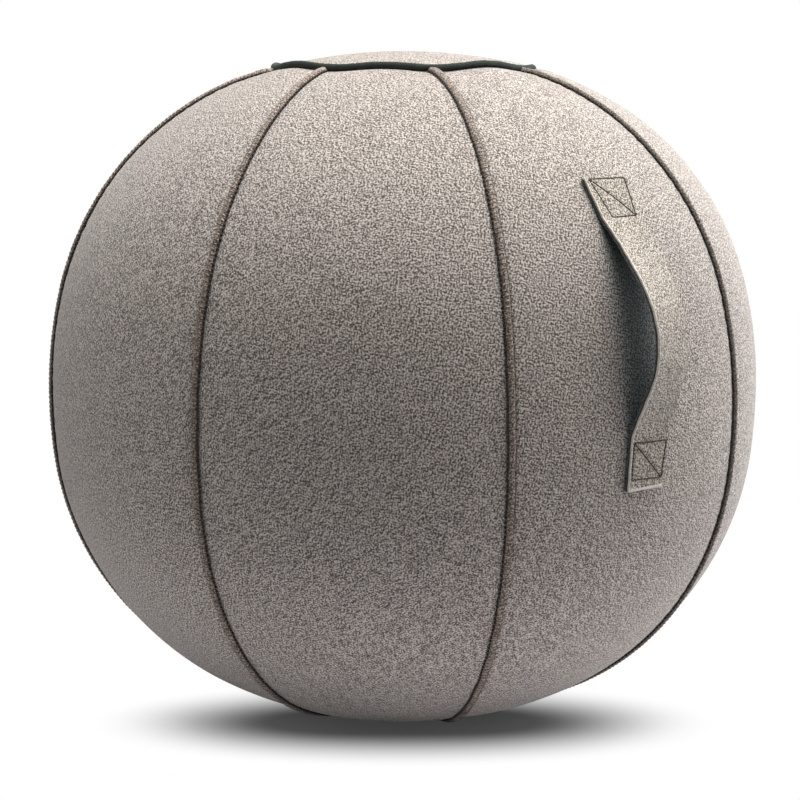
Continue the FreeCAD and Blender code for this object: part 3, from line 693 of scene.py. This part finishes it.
def gore_grid(index):
    """Azimuths, slopes and lifts of one gore's grid."""
    runs = np.linspace(RUN_TOP, RUN_LOW, GORE_ROWS)
    slopes = slope_of(runs)
    outs, _ = profile(slopes)
    middle = GORE_ANGLE * index
    share = np.sin(np.pi / 2 * np.linspace(-1, 1, GORE_COLUMNS))
    limits = {}
    for side, seam in ((-1, index - 1), (1, index)):
        gap = np.degrees(np.arcsin(seam_half_gap(index, side, runs) / outs))
        limits[side] = GORE_ANGLE / 2 - gap + side * seam_drift(seam, runs)
    left, right = [share[None, :] * limits[side][:, None] for side in (-1, 1)]
    angle = np.where(share[None, :] < 0, left, right)
    slope = np.broadcast_to(slopes[:, None], angle.shape)
    run = np.broadcast_to(runs[:, None], angle.shape)
    lift = np.zeros(angle.shape)
    azimuth = middle + angle
    places = on_ball(azimuth, slope)
    for side in (-1, 1):
        gap = (limits[side][:, None] - side * angle) * np.pi / 180 * outs[:, None]
        gap = np.maximum(gap, 0.0)
        under_tape = np.zeros(run.shape)
        if ZIP_GORES.get(index) == side:
            under_tape = zip_share(run, TAPE_BLEND, TAPE_BLEND)
        reach = gap + under_tape * (ZIP_SLOT_HALF - ZIP_TAPE_HALF) * np.exp(-gap / TAPE_REACH)
        lift -= SEAM_DIP * np.exp(-np.maximum(reach, 0.0) / SEAM_DIP_REACH)
        lift -= EDGE_DROP * bell(gap, EDGE_ROUNDING) * (1 - under_tape)
        waves = ripple(run, PUCKER_PITCH, SEED + 10 * index + side)
        lift += PUCKER * waves * np.exp(-gap / PUCKER_REACH) * (1 - under_tape)
    lift += SWELL * swell(places, SWELL_PITCH, SEED) * (1 - handle_mask(index, angle, slope))
    lift += ring_rise(azimuth) * bell(run - RUN_TOP, RING_WAVE_REACH)
    lift -= RING_TUCK * bell(run - RUN_TOP, RING_TUCK_REACH)
    return azimuth, slope, lift


def make_gore(index):
    azimuth, slope, lift = gore_grid(index)
    outer = on_ball(azimuth, slope, lift)
    inner = on_ball(azimuth, slope, np.minimum(lift, 0.0) * 0.3 - FELT_THICKNESS)
    face = HANDLE_GORE_FELT_PAINTED_SHADE if index == 0 else FELT
    gore = shell_object(f"gore_{index + 1}", outer, inner, [face, GROOVE_PAINTED_SHADE], edge_material=1)
    enter(gore, f"gore_panel_{index + 1}")


# Overlocked seams: a felt ridge, thin thread bars over it and a dark beaded chain along one foot

# Side of the ridge that the dark chain keeps away from, towards larger azimuths or smaller
LEAN = {0: 1, 1: 1, 2: 1, 3: -1, 4: -1, 5: -1, 6: -1, 7: 1}
# Waves by which a seam wanders from its line, as (reach, pitch, first seed)
WANDER = ((0.00035, 0.045, 200), (0.00018, 0.017, 300))
WELT_SECTION = ((-0.0027, -0.0026), (-0.0029, -0.0002), (-0.0024, 0.0013), (-0.0012, 0.0022),
                (0.0004, 0.0025), (0.0018, 0.0021), (0.0027, 0.0010), (0.0031, -0.0004), (0.0029, -0.0026))


def seam_lift(run):
    """Lift of a seam along its length: it follows the gores' waves and tuck near the ring."""
    sunk = 0.8 * RING_WAVE * bell(run - RUN_TOP, RING_WAVE_REACH)
    return -sunk - RING_TUCK * bell(run - RUN_TOP, RING_TUCK_REACH)


def seam_place(index, run, aside, level):
    """Points beside a seam: aside along the surface and level above it."""
    wander = sum(reach * ripple(run, pitch, SEED + start + index) for reach, pitch, start in WANDER)
    azimuth = seam_azimuth(index) + seam_drift(index, run)
    return on_ball(azimuth, slope_of(run), level + seam_lift(run), aside + wander)


def top_share(run):
    """One at a seam's upper end, fading below it, where the felt's turned edges lie less tight."""
    return np.exp(-(np.asarray(run, float) - RUN_TOP) / TOP_WIDENING_REACH)


def welt_stretches(index):
    """Runs along which a seam has its ridge; the zip takes the middle of its seam."""
    whole = (RUN_TOP - 0.0005, RUN_LOW - 0.002)
    if index != ZIP_SEAM:
        return [whole]
    return [(whole[0], ZIP_RUN_TOP), (ZIP_RUN_LOW, whole[1])]


def keep_above_floor(points, gap):
    points = np.array(points)
    points[..., 2] = np.maximum(points[..., 2], gap)
    return points


def welt_part(index, start, end):
    """Ridge of one stretch of a seam."""
    count = int((end - start) / WELT_STEP)
    runs = np.linspace(start, end, count)[:, None]
    aside, level = np.array(WELT_SECTION).T[:, None, :]
    pinch = (1 - 0.10 * np.cos(np.pi * runs / STITCH_PITCH) ** 8) * (1 + TOP_WIDENING * top_share(runs))
    height = 1 + 0.07 * ripple(runs, 0.03, SEED + 400 + index)
    raised = level * np.where(level > 0, pinch * height, 1.0)
    points = keep_above_floor(seam_place(index, runs, -LEAN[index] * aside * pinch, raised), WELT_FLOOR_GAP)
    return points.reshape(-1, 3), prism_blocks(1, count, len(WELT_SECTION))


def make_welt(index):
    points, blocks = joined([welt_part(index, start, end) for start, end in welt_stretches(index)])
    # The first seam's ridge takes the darker copy as painted shade
    material = WELT_FELT_PAINTED_SHADE if index == 0 else WELT_FELT
    welt = mesh_object(f"welt_{index + 1}", points, blocks, [material])
    enter(welt, f"seam_welt_{index + 1}")


def thread_bars(index, start, end, draw):
    """Overlock threads over the ridge, each slanted along the seam."""
    count = int((end - start) / STITCH_PITCH)
    runs = start + (np.arange(count) + draw.uniform(-BAR_JITTER, BAR_JITTER, count)) * STITCH_PITCH
    slant = draw.uniform(*BAR_SLANT, count)
    aside, level = np.array(WELT_SECTION[1:-1]).T
    share = np.linspace(-0.5, 0.5, len(aside))
    places = runs[:, None] + slant[:, None] * share[None, :]
    wide = 1 + TOP_WIDENING * top_share(places)
    path = seam_place(index, places, -LEAN[index] * aside[None, :] * wide, level[None, :] + BAR_LEVEL)
    thick = BAR_THREAD + (BAR_THREAD_TOP - BAR_THREAD) * top_share(runs)
    return tubes(keep_above_floor(path, BAR_FLOOR_GAP), thick[:, None, None, None])


def chain_thread(index, start, end):
    """Dark looper thread along the ridge's foot, thick and thin once a stitch."""
    runs = np.arange(start, end, STITCH_PITCH / 6)
    beat = np.cos(2 * np.pi * runs / STITCH_PITCH)
    foot = CHAIN_ASIDE * (1 + TOP_WIDENING * top_share(runs))
    path = seam_place(index, runs, -LEAN[index] * (foot + CHAIN_SWAY * beat), CHAIN_LEVEL + CHAIN_HOP * beat)
    radius = (CHAIN_THREAD + CHAIN_BEAD * beat)[None, :, None, None]
    return tubes(keep_above_floor(path, CHAIN_FLOOR_GAP)[None], radius, 7)


def make_overlock(index):
    draw = np.random.RandomState(SEED + 500 + index)
    bars = []
    chains = []
    for start, end in welt_stretches(index):
        bars.append(thread_bars(index, start + 0.001, end, draw))
        chains.append(chain_thread(index, start + 0.002, end - 0.002))
    points, blocks = joined(bars + chains)
    kinds = [0] * (3 * len(bars)) + [1] * (3 * len(chains))
    overlock = mesh_object(f"overlock_{index + 1}", points, blocks, [BROWN_THREAD, BLACK_THREAD], kinds)
    enter(overlock)


# Cap, ring and base

def make_cap():
    rows = 60
    columns = 192
    edge = RING_RADIUS - RING_TUBE * 0.4
    outs = edge * np.sin(np.pi / 2 * np.linspace(0.004, 1, rows))
    azimuth = np.linspace(0, 360, columns, endpoint=False)
    rise = bell(edge - outs, RING_WAVE_REACH)[:, None] * ring_rise(azimuth)[None, :]
    slopes = np.degrees(np.arccos(outs / CROWN[2]))[:, None]
    puckers = CAP_PUCKER * ripple(azimuth / 360 * 2 * np.pi * edge, CAP_PUCKER_PITCH, SEED + 31)
    wavy = rise + np.exp(-(edge - outs) / CAP_PUCKER_REACH)[:, None] * puckers[None, :]
    tuck = RING_TUCK * bell(edge - outs, RING_TUCK_REACH)
    wavy = wavy - (tuck + CROWN_SINK * (1 - (outs / edge) ** 2))[:, None]
    top = on_ball(azimuth, slopes, wavy - CAP_DROP)
    low = on_ball(azimuth, slopes, wavy - FELT_THICKNESS)
    edge_line = rows * columns - 1 - np.arange(columns)
    points, blocks = closed_sheet(top, low, grid_block(rows, columns, close_columns=True), edge_line)
    middle = np.arange(columns)[None, :]
    blocks += [middle, middle[:, ::-1] + rows * columns]
    cap = mesh_object("cap", points, blocks, [FELT])
    enter(cap, "top_cap_panel")


def turned(out, up, azimuth):
    """Points out from the axis and up from the floor, at azimuths round the axis."""
    return np.stack(np.broadcast_arrays(out * sine(azimuth), -out * cosine(azimuth), up), axis=-1)


def make_ring(name, node, ring_radius, height, tube, wave, seed, swell_up=1.0):
    """Piping ring with a slightly uneven tube; wave is the share of the gores' waves that it follows."""
    columns = 384
    sides = 16
    azimuth = np.linspace(0, 360, columns, endpoint=False)
    length = azimuth / 360 * 2 * np.pi * ring_radius
    thick = 1 + 0.05 * ripple(length, 0.03, seed) + 0.03 * ripple(length, 0.009, seed + 1)
    away = (azimuth - RING_DIP_PLACE + 180) % 360 - 180
    rise = wave * (ring_rise(azimuth) - RING_DIP * bell(away, RING_DIP_REACH))
    turn = 2 * np.pi * np.arange(sides) / sides
    out = ring_radius + tube * thick[:, None] * np.cos(turn)[None, :]
    up = height + rise[:, None] + tube * swell_up * thick[:, None] * np.sin(turn)[None, :]
    points = keep_above_floor(turned(out, up, azimuth[:, None]), RING_FLOOR_GAP)
    ring = mesh_object(name, points, [grid_block(columns, sides, True, True)], [PIPING])
    enter(ring, node)


def turned_solid(outline, columns):
    """Points and blocks of a solid of revolution from (out, height) points, from its bottom up."""
    out, up = np.array(outline).T[:, :, None]
    points = turned(out, up, np.linspace(0, 360, columns, endpoint=False))
    return points.reshape(-1, 3), prism_blocks(1, len(outline), columns)


def dot_places():
    """Places of the rubber dots, staggered row by row."""
    reach = int(BASE_RADIUS / DOT_PITCH) + 1
    places = []
    for row in range(-reach - 2, reach + 3):
        for column in range(-reach, reach + 1):
            x = (column + 0.5 * (row % 2)) * DOT_PITCH
            y = row * DOT_PITCH * math.sqrt(0.75)
            if math.hypot(x, y) < BASE_RADIUS - 2 * DOT_RADIUS:
                places.append((x, y, 0.0))
    return places


def make_base():
    """Round anti-slip panel with rubber dots on its underside."""
    low = DOT_HEIGHT
    top = BASE_TOP
    soft = BASE_ROUNDING
    edge = BASE_RADIUS - 0.0001
    outline = [(edge - soft, low), (edge, low + soft), (edge, top - soft), (edge - soft, top)]
    panel = turned_solid(outline, BASE_COLUMNS)
    dot_outline = [(0.35 * DOT_RADIUS, 0.0), (0.75 * DOT_RADIUS, 0.25 * low), (DOT_RADIUS, low),
                   (DOT_RADIUS, 1.3 * low)]
    dot_points, dot_blocks = turned_solid(dot_outline, DOT_COLUMNS)
    dots = [(dot_points + np.array(place), dot_blocks) for place in dot_places()]
    points, blocks = joined([panel] + dots)
    kinds = [0] * len(panel[1]) + [1] * (len(blocks) - len(panel[1]))
    base = mesh_object("base", points, blocks, [BASE_CLOTH, RUBBER], kinds)
    enter(base, "base_panel")


# Handle

def tab_ends(slope, length):
    """Upper and lower end of a tab that lies on the cover, as (out, height)."""
    middle = np.array(profile(slope))
    down = np.array([sine(slope), -cosine(slope)])
    return [middle - down * length / 2, middle + down * length / 2]


def strap_corners():
    """Corners of the strap's inner face in the plane of its gore, as (out, height)."""
    low_slope = -math.degrees(math.asin(STRAP_LOWER_TAB_DROP / LOW_WAIST_RADIUS))
    bends = [np.array([BALL_RADIUS + STRAP_STAND_OFF, EQUATOR + height])
             for height in (STRAP_TOP_BEND_HEIGHT, STRAP_LOW_BEND_HEIGHT)]
    return [*tab_ends(STRAP_UPPER_TAB_ANGLE, STRAP_UPPER_TAB_LENGTH), *bends,
            *tab_ends(low_slope, STRAP_LOWER_TAB_LENGTH)]


def rounded_path(corners, radii, step):
    """Evenly spaced points along straight runs joined by tangent arcs."""
    dense = [corners[0]]
    for before, corner, after, radius in zip(corners, corners[1:], corners[2:], radii):
        back = unit(before - corner)
        ahead = unit(after - corner)
        half = math.acos(np.clip(-back @ ahead, -1, 1)) / 2
        reach = radius * math.tan(half)
        for share in np.linspace(0, 1, 24):
            one = corner + back * reach * (1 - share)
            two = corner + ahead * reach * share
            dense.append(one + (two - one) * share)
    dense.append(corners[-1])
    dense = np.array(dense)
    lengths = np.concatenate([[0], np.cumsum(np.linalg.norm(np.diff(dense, axis=0), axis=1))])
    places = np.arange(0, lengths[-1], step)
    return np.stack([np.interp(places, lengths, dense[:, axis]) for axis in range(2)], axis=1)


class Strap:
    """The strap's inner face as a ribbon that leans, turns and narrows along its length."""

    # Share of the length, shift to larger azimuths, width, and turn that lifts the left edge
    SHAPE = ((0.00, 0.0018, 0.0465, 0.0), (0.14, -0.0015, 0.0380, 0.0), (0.24, -0.0010, 0.0394, 4.0),
             (0.40, -0.0060, 0.0420, 12.0), (0.55, -0.0050, 0.0435, 18.0), (0.68, -0.0038, 0.0440, 12.0),
             (0.80, -0.0037, 0.0425, 2.0), (0.88, -0.0057, 0.0395, 0.0), (1.00, -0.0083, 0.0363, 0.0))

    def __init__(self):
        path = rounded_path(strap_corners(), STRAP_BEND_RADII, STRAP_STEP)
        self.steps = np.arange(len(path))
        self.length = STRAP_STEP * (len(path) - 1)
        share = np.linspace(0, 1, len(path))
        places, *shapes = np.array(self.SHAPE).T
        shift, self.width, turn = [self.smooth(np.interp(share, places, shape)) for shape in shapes]
        along = unit(np.gradient(path, axis=0))
        self.columns = (*path.T, -along[:, 1], along[:, 0], shift, self.width, turn)

    @staticmethod
    def smooth(values):
        kernel = np.hanning(STRAP_SMOOTHING)
        padded = np.pad(values, STRAP_SMOOTHING // 2, mode="edge")
        return np.convolve(padded, kernel / kernel.sum(), mode="valid")

    def place(self, along, across, level):
        """Point at a length along, a share -0.5 to 0.5 across and a level above the strap's inner face."""
        station = np.clip(np.asarray(along, float) / STRAP_STEP, 0, self.steps[-1])
        out, up, normal_out, normal_up, shift, width, turn = [
            np.interp(station, self.steps, column) for column in self.columns]
        aside = across * width
        lean = -aside * sine(turn)
        sideways = shift + aside * cosine(turn)
        lift = level * cosine(turn) + lean
        sideways = sideways + level * sine(turn)
        y = -(out + normal_out * lift)
        z = up + normal_up * lift
        return np.stack(np.broadcast_arrays(sideways, y, z), axis=-1)


def segment_gap(along, across, start, end):
    """Distance from points of the strap's flat pattern to a line between two of its points."""
    line = end - start
    share = np.clip(((along - start[0]) * line[0] + (across - start[1]) * line[1]) / (line @ line), 0, 1)
    return np.hypot(along - start[0] - share * line[0], across - start[1] - share * line[1])


STRAP = Strap()

# Stitched boxes, as corners (along the strap, share across it) from the top left, clockwise
UPPER_BOX = ((0.0022, -0.41), (0.0020, 0.44), (0.0378, 0.45), (0.0386, -0.23))
LOWER_BOX = ((0.2354, -0.44), (0.2371, 0.45), (0.2669, 0.44), (0.2652, -0.44))


def box_lines(box):
    """Sides of a box and its diagonal, as pairs of corners."""
    corners = list(np.array(box))
    return list(zip(corners, corners[1:] + corners[:1])) + [(corners[0], corners[2])]


def stitch_dent(along, across):
    """One on the stitched lines, falling to nothing beside them."""
    flat = np.array([1.0, STRAP_MEAN_WIDTH])
    lines = box_lines(UPPER_BOX) + box_lines(LOWER_BOX)
    gaps = [segment_gap(along, across * STRAP_MEAN_WIDTH, start * flat, end * flat) for start, end in lines]
    return bell(np.minimum.reduce(gaps), STITCH_DENT_REACH)


def make_strap_layer(name, node, low, high, materials, edge_drop, widen=(0.0, 0.0), pale=False):
    """One layer of the strap; widen gives the shares by which it stands out at its left and right edge."""
    along = (STRAP.steps * STRAP_STEP)[:, None]
    across = np.sin(np.pi / 2 * np.linspace(-1, 1, STRAP_COLUMNS))[None, :]
    across = across * np.where(across < 0, 0.5 + widen[0], 0.5 + widen[1])
    dent = stitch_dent(along, across) * (high > STRAP_LINING)
    edge = np.where(across < 0, 0.5 + widen[0] + across, 0.5 + widen[1] - across) * STRAP_MEAN_WIDTH
    soft_edge = bell(edge, STRAP_EDGE_REACH)
    wave = 0.0002 * ripple(along, 0.02, SEED + 77) * (np.abs(across) * 2) ** 3
    thick = high - low
    outer = STRAP.place(along, across, high - STITCH_DENT * dent - edge_drop * thick * soft_edge + wave)
    inner = STRAP.place(along, across, low + LAYER_GAP + 0.1 * thick * soft_edge + wave)
    # Outer faces by the left edge and at the lower end take the pale cut-edge felt as painted highlight
    near_side = across[:, :-1] < -0.5 + PAINTED_HIGHLIGHT_SIDE / STRAP_MEAN_WIDTH
    near_end = along[1:] > STRAP.length - PAINTED_HIGHLIGHT_END
    marked = (near_side | near_end).ravel() if pale else None
    strap = shell_object(name, outer, inner, materials, edge_material=1, pale=marked)
    enter(strap, node)


def stitch_dashes(box, level):
    """Paths of the stitches along a box's lines, each rising a little out of the felt."""
    share = np.linspace(0, 1, 6)
    lift = level - BOX_STITCH_SUNK + STITCH_RISE * np.sin(np.pi * share)
    bite = BOX_STITCH_BITE / BOX_STITCH_PITCH
    paths = []
    for start, end in box_lines(box):
        line = end - start
        count = max(2, round(math.hypot(line[0], line[1] * STRAP_MEAN_WIDTH) / BOX_STITCH_PITCH))
        for step in range(count):
            places = (step + 0.5 + (share - 0.5) * bite) / count
            paths.append(STRAP.place(start[0] + line[0] * places, start[1] + line[1] * places, lift))
    return np.array(paths)


def make_box_thread(word, box):
    points, blocks = tubes(stitch_dashes(box, STRAP_LINING + STRAP_OUTER), BOX_THREAD)
    made = mesh_object(f"{word}_box_thread", points, blocks, [DARK_THREAD])
    enter(made, f"{word}_handle_stitch")


# Zip

ZIP_AZIMUTH = seam_azimuth(ZIP_SEAM)


def make_zip_tape(word, side):
    rows = 160
    columns = 12
    slopes = -np.linspace(ZIP_TAPE_TOP, ZIP_TAPE_LOW, rows)[:, None]
    aside = side * np.linspace(ZIP_TAPE_GAP, ZIP_TAPE_HALF, columns)[None, :]
    runs = run_of(slopes)
    wave = 0.00008 * ripple(runs, 0.012, SEED + 90 + side)
    top, low = [on_ball(ZIP_AZIMUTH, slopes, level + wave, aside) for level in ZIP_TAPE_LEVELS]
    tape = shell_object(f"tape_{word}", top, low, [ZIP_TAPE])
    enter(tape, f"zip_tape_{word}")


# Half outline of a tooth, as (aside, along), from the chain's middle to its tape
TOOTH_OUTLINE = ((0.0007, 0.0003), (0.0012, 0.00062), (0.0020, 0.0004), (0.0033, 0.0005))
TOOTH_LEVELS = ((0.00085, 1.0), (0.0022, 1.0), (0.00275, 0.8))
TOOTH_MIDDLE = 0.0020
TOOTH_PITCH = 0.0020


def make_teeth(word, side):
    """Moulded teeth, staggered from side to side."""
    span = math.radians(TEETH_LOW - TEETH_TOP) * LOW_SHOULDER_RADIUS
    count = int(span / TOOTH_PITCH)
    half = np.array(TOOTH_OUTLINE)
    outline = np.concatenate([half, half[::-1] * (1, -1)])
    middles = (np.arange(count) + (0.75 if side > 0 else 0.25)) * TOOTH_PITCH
    level, shrink = np.array(TOOTH_LEVELS).T
    aside = TOOTH_MIDDLE + (outline[None, :, 0] - TOOTH_MIDDLE) * shrink[:, None]
    along = outline[None, :, 1] * shrink[:, None]
    slopes = -TEETH_TOP - np.degrees((middles[:, None, None] + along[None]) / LOW_SHOULDER_RADIUS)
    points = on_ball(ZIP_AZIMUTH, slopes, level[None, :, None], side * aside[None])
    blocks = prism_blocks(count, len(level), len(outline))
    teeth = mesh_object(f"teeth_{word}", points, blocks, [ZIP_PLASTIC], smooth=False)
    enter(teeth, f"zip_teeth_{word}")


def make_zip_stitching():
    """Two rows of stitches that hold each tape to its gore."""
    share = np.linspace(0, 1, 5)
    starts = np.arange(ZIP_RUN_TOP + 0.003, ZIP_RUN_LOW - 0.003, ZIP_STITCH_PITCH)
    runs = starts[:, None] + share[None, :] * ZIP_STITCH_PITCH * ZIP_STITCH_SHARE
    lift = ZIP_STITCH_LEVEL + STITCH_RISE * np.sin(np.pi * share)
    rows = [on_ball(ZIP_AZIMUTH, slope_of(runs), lift, aside) for aside in ZIP_STITCH_PLACES]
    points, blocks = joined([tubes(row, ZIP_STITCH_THREAD, 5) for row in rows])
    enter(mesh_object("zip_stitching", points, blocks, [BROWN_THREAD]))


# Stage

def from_axis(n):
    """Distance from the ball's axis on the floor."""
    place = n.node("TexCoord").outputs["Object"]
    return n.node("VectorMath", {0: place}, operation="LENGTH").outputs["Value"]


def painted_shadow_window(n):
    """Mask of the painted shadow: one in the floor's soft oval, longest along the picture's width, and round
    the base.
    """
    forward, right = floor_axes()
    place = n.node("TexCoord").outputs["Object"]
    along = [n.node("VectorMath", {0: place, 1: axis * (2 / size)}, operation="DOT_PRODUCT")
             for axis, size in ((right, SHADOW_WIDTH), (forward, SHADOW_DEPTH))]
    aside, ahead = [made.outputs["Value"] for made in along]
    ahead = n.math("SUBTRACT", ahead, SHADOW_TO_CAMERA * 2 / SHADOW_DEPTH)
    aside_square = n.math("MULTIPLY", aside, aside)
    far_square = n.math("MULTIPLY_ADD", ahead, ahead, aside_square)
    sideways = n.math("DIVIDE", aside_square, n.math("MAXIMUM", far_square, 0.0001))
    start = n.stretch(sideways, 0.0, 1.0, SHADOW_SOFT_DEPTH, SHADOW_SOFT_WIDTH)
    oval = n.soft_step(n.math("SQRT", far_square), start, SHADOW_END)
    return n.math("MAXIMUM", oval, n.soft_step(from_axis(n), SHADOW_NEAR, SHADOW_FAR))


def floor_material():
    """Pale floor, white in the picture but for a painted shadow of the ball with its contact line."""
    n = new_nodes("floor")
    open_share = n.node("AmbientOcclusion", {"Distance": 0.5}, samples=16).outputs["AO"]
    painted_shade_share = n.stretch(open_share, *SHADOW_OPEN, 0.0, SHADOW_DARKNESS)
    contact = n.stretch(open_share, *CONTACT_OPEN, 0.0, CONTACT_DARKNESS)
    # Painted shadow: the floor seen in the picture darkens inside the oval and round the base
    dark = n.math("MULTIPLY", painted_shadow_window(n), n.math("ADD", painted_shade_share, contact))
    lightness = n.math("SUBTRACT", 1.0, dark)
    grain = n.stretch(n.noise(n.place(), 3.0), 0.3, 0.7, 0.98, 1.0)
    nearness = n.stretch(from_axis(n), FLOOR_NEAR, FLOOR_FAR, 1.0, FLOOR_FAR_SHARE)
    level = n.math("MULTIPLY", grain, nearness)
    levels = {part: n.math("MULTIPLY", level, share) for part, share in enumerate(FLOOR_COLOUR)}
    n.finish(n.node("CombineColor", levels).outputs[0], 0.9, Specular_IOR_Level=0.0)
    seen = n.node("Emission", {"Color": WHITE + (1.0,), "Strength": lightness}).outputs[0]
    lit = n.tree.nodes["Principled BSDF"].outputs[0]
    mixed = n.node("MixShader", {0: n.seen_directly(), 1: lit, 2: seen}).outputs[0]
    n.feed(n.tree.nodes["Material Output"], "Surface", mixed)
    return n.owner


def make_stage():
    corners = [(x * FLOOR_SIZE, y * FLOOR_SIZE, 0) for x, y in ((-1, -1), (1, -1), (1, 1), (-1, 1))]
    mesh = bpy.data.meshes.new("floor")
    mesh.from_pydata(corners, [], [(0, 1, 2, 3)])
    mesh.materials.append(floor_material())
    placed("floor", mesh)


def make_world():
    world = bpy.data.worlds.new("studio")
    bpy.context.scene.world = world
    n = Nodes(world)
    background = n.tree.nodes["Background"]
    n.feed(background, "Color", WHITE + (1.0,))
    n.feed(background, "Strength", n.stretch(n.seen_directly(), 0.0, 1.0, WORLD_LEVEL, 1.0))


def camera_axes():
    """Directions from the ball to the camera and to the picture's right."""
    to_camera = Vector((sine(CAMERA_AZIMUTH) * cosine(CAMERA_ELEVATION),
                        -cosine(CAMERA_AZIMUTH) * cosine(CAMERA_ELEVATION), sine(CAMERA_ELEVATION)))
    return to_camera, Vector((0, 0, 1)).cross(to_camera).normalized()


def floor_axes():
    """Level directions from the ball towards the camera and to the picture's right."""
    to_camera, right = camera_axes()
    return Vector((to_camera.x, to_camera.y, 0)).normalized(), right


def aimed(name, data, direction, distance):
    """New object that looks at the ball's middle from this direction."""
    made = placed(name, data)
    made.location = CENTRE + direction * distance
    made.rotation_euler = (-direction).to_track_quat("-Z", "Y").to_euler()
    return made


def make_camera():
    to_camera, _ = camera_axes()
    data = bpy.data.cameras.new("camera")
    data.sensor_width = 36.0
    data.sensor_height = 36.0
    data.sensor_fit = "HORIZONTAL"
    data.lens = CAMERA_LENS
    data.shift_x, data.shift_y = CAMERA_SHIFT
    bpy.context.scene.camera = aimed("camera", data, to_camera, CAMERA_DISTANCE)


def area_light(name, to_right, up, to_camera, distance, size, power, color=WHITE):
    """Soft square lamp placed by the picture's own directions, facing the ball."""
    forward, right = floor_axes()
    direction = (right * to_right + Vector((0, 0, 1)) * up + forward * to_camera).normalized()
    data = bpy.data.lights.new(name, "AREA")
    data.energy = power
    data.size = size
    data.color = color
    aimed(name, data, direction, distance)


def make_lights():
    area_light("top", 0.1, 1.0, 0.05, 2.4, 1.8, 86.0, WARM_WHITE)
    area_light("top_right", 0.7, 1.0, 0.0, 2.4, 1.6, 26.0, WARM_WHITE)
    area_light("right", 1.0, 0.12, 0.05, 2.2, 1.4, 9.0)
    area_light("right_back", 1.0, 0.2, -0.6, 2.2, 1.4, 30.0)
    area_light("left", -1.0, 0.12, 0.05, 2.4, 1.6, 15.0)


# Looks of the CAD pieces that stay

KEPT_LOOKS = {
    "weighted_base_pad": BALLAST, "bladder": VINYL, "valve_seat": VALVE, "air_plug": PLUG,
    "zip_top_stop": ZIP_PLASTIC, "zip_bottom_stop": ZIP_PLASTIC, "zip_slider": ZIP_METAL,
    "pull_tab": ZIP_METAL,
}


def dress_kept_nodes():
    for name, material in KEPT_LOOKS.items():
        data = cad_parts[name].data
        data.materials.clear()
        data.materials.append(material)


def make_object():
    for index in range(GORE_COUNT):
        make_gore(index)
        make_welt(index)
        make_overlock(index)
    make_cap()
    ring_height = EQUATOR + CROWN[1] + math.sqrt(CROWN[2] ** 2 - RING_RADIUS ** 2)
    make_ring("cap_ring", "top_piping", RING_RADIUS, ring_height + RING_LIFT, RING_THICKNESS, 1.0, SEED + 60,
              RING_SWELL)
    make_ring("base_ring", "base_piping", BASE_RADIUS + BASE_RING_TUBE, BASE_RING_GAP + BASE_RING_TUBE,
              BASE_RING_TUBE, 0.0, SEED + 70)
    make_base()
    # The lining stands out past the outer felt, most at the right edge, to draw a dark line of painted shade
    # along the strap's edges
    make_strap_layer("handle_lining_felt", "handle_lining", 0.0, STRAP_LINING, [LINING_FELT_PAINTED_SHADE, LINING_EDGE_PAINTED_HIGHLIGHT],
                     edge_drop=0.45, widen=(0.008, 0.045))
    make_strap_layer("handle_felt", "handle_outer", STRAP_LINING, STRAP_LINING + STRAP_OUTER,
                     [STRAP_FELT, CUT_EDGE_AND_HIGHLIGHT], edge_drop=0.04, pale=True)
    make_box_thread("upper", UPPER_BOX)
    make_box_thread("lower", LOWER_BOX)
    for make_half in (make_zip_tape, make_teeth):
        make_half("left", -1)
        make_half("right", 1)
    make_zip_stitching()
    dress_kept_nodes()


make_camera()
make_world()
make_lights()
make_stage()
make_object()
bpy.context.scene.view_settings.view_transform = "Standard"
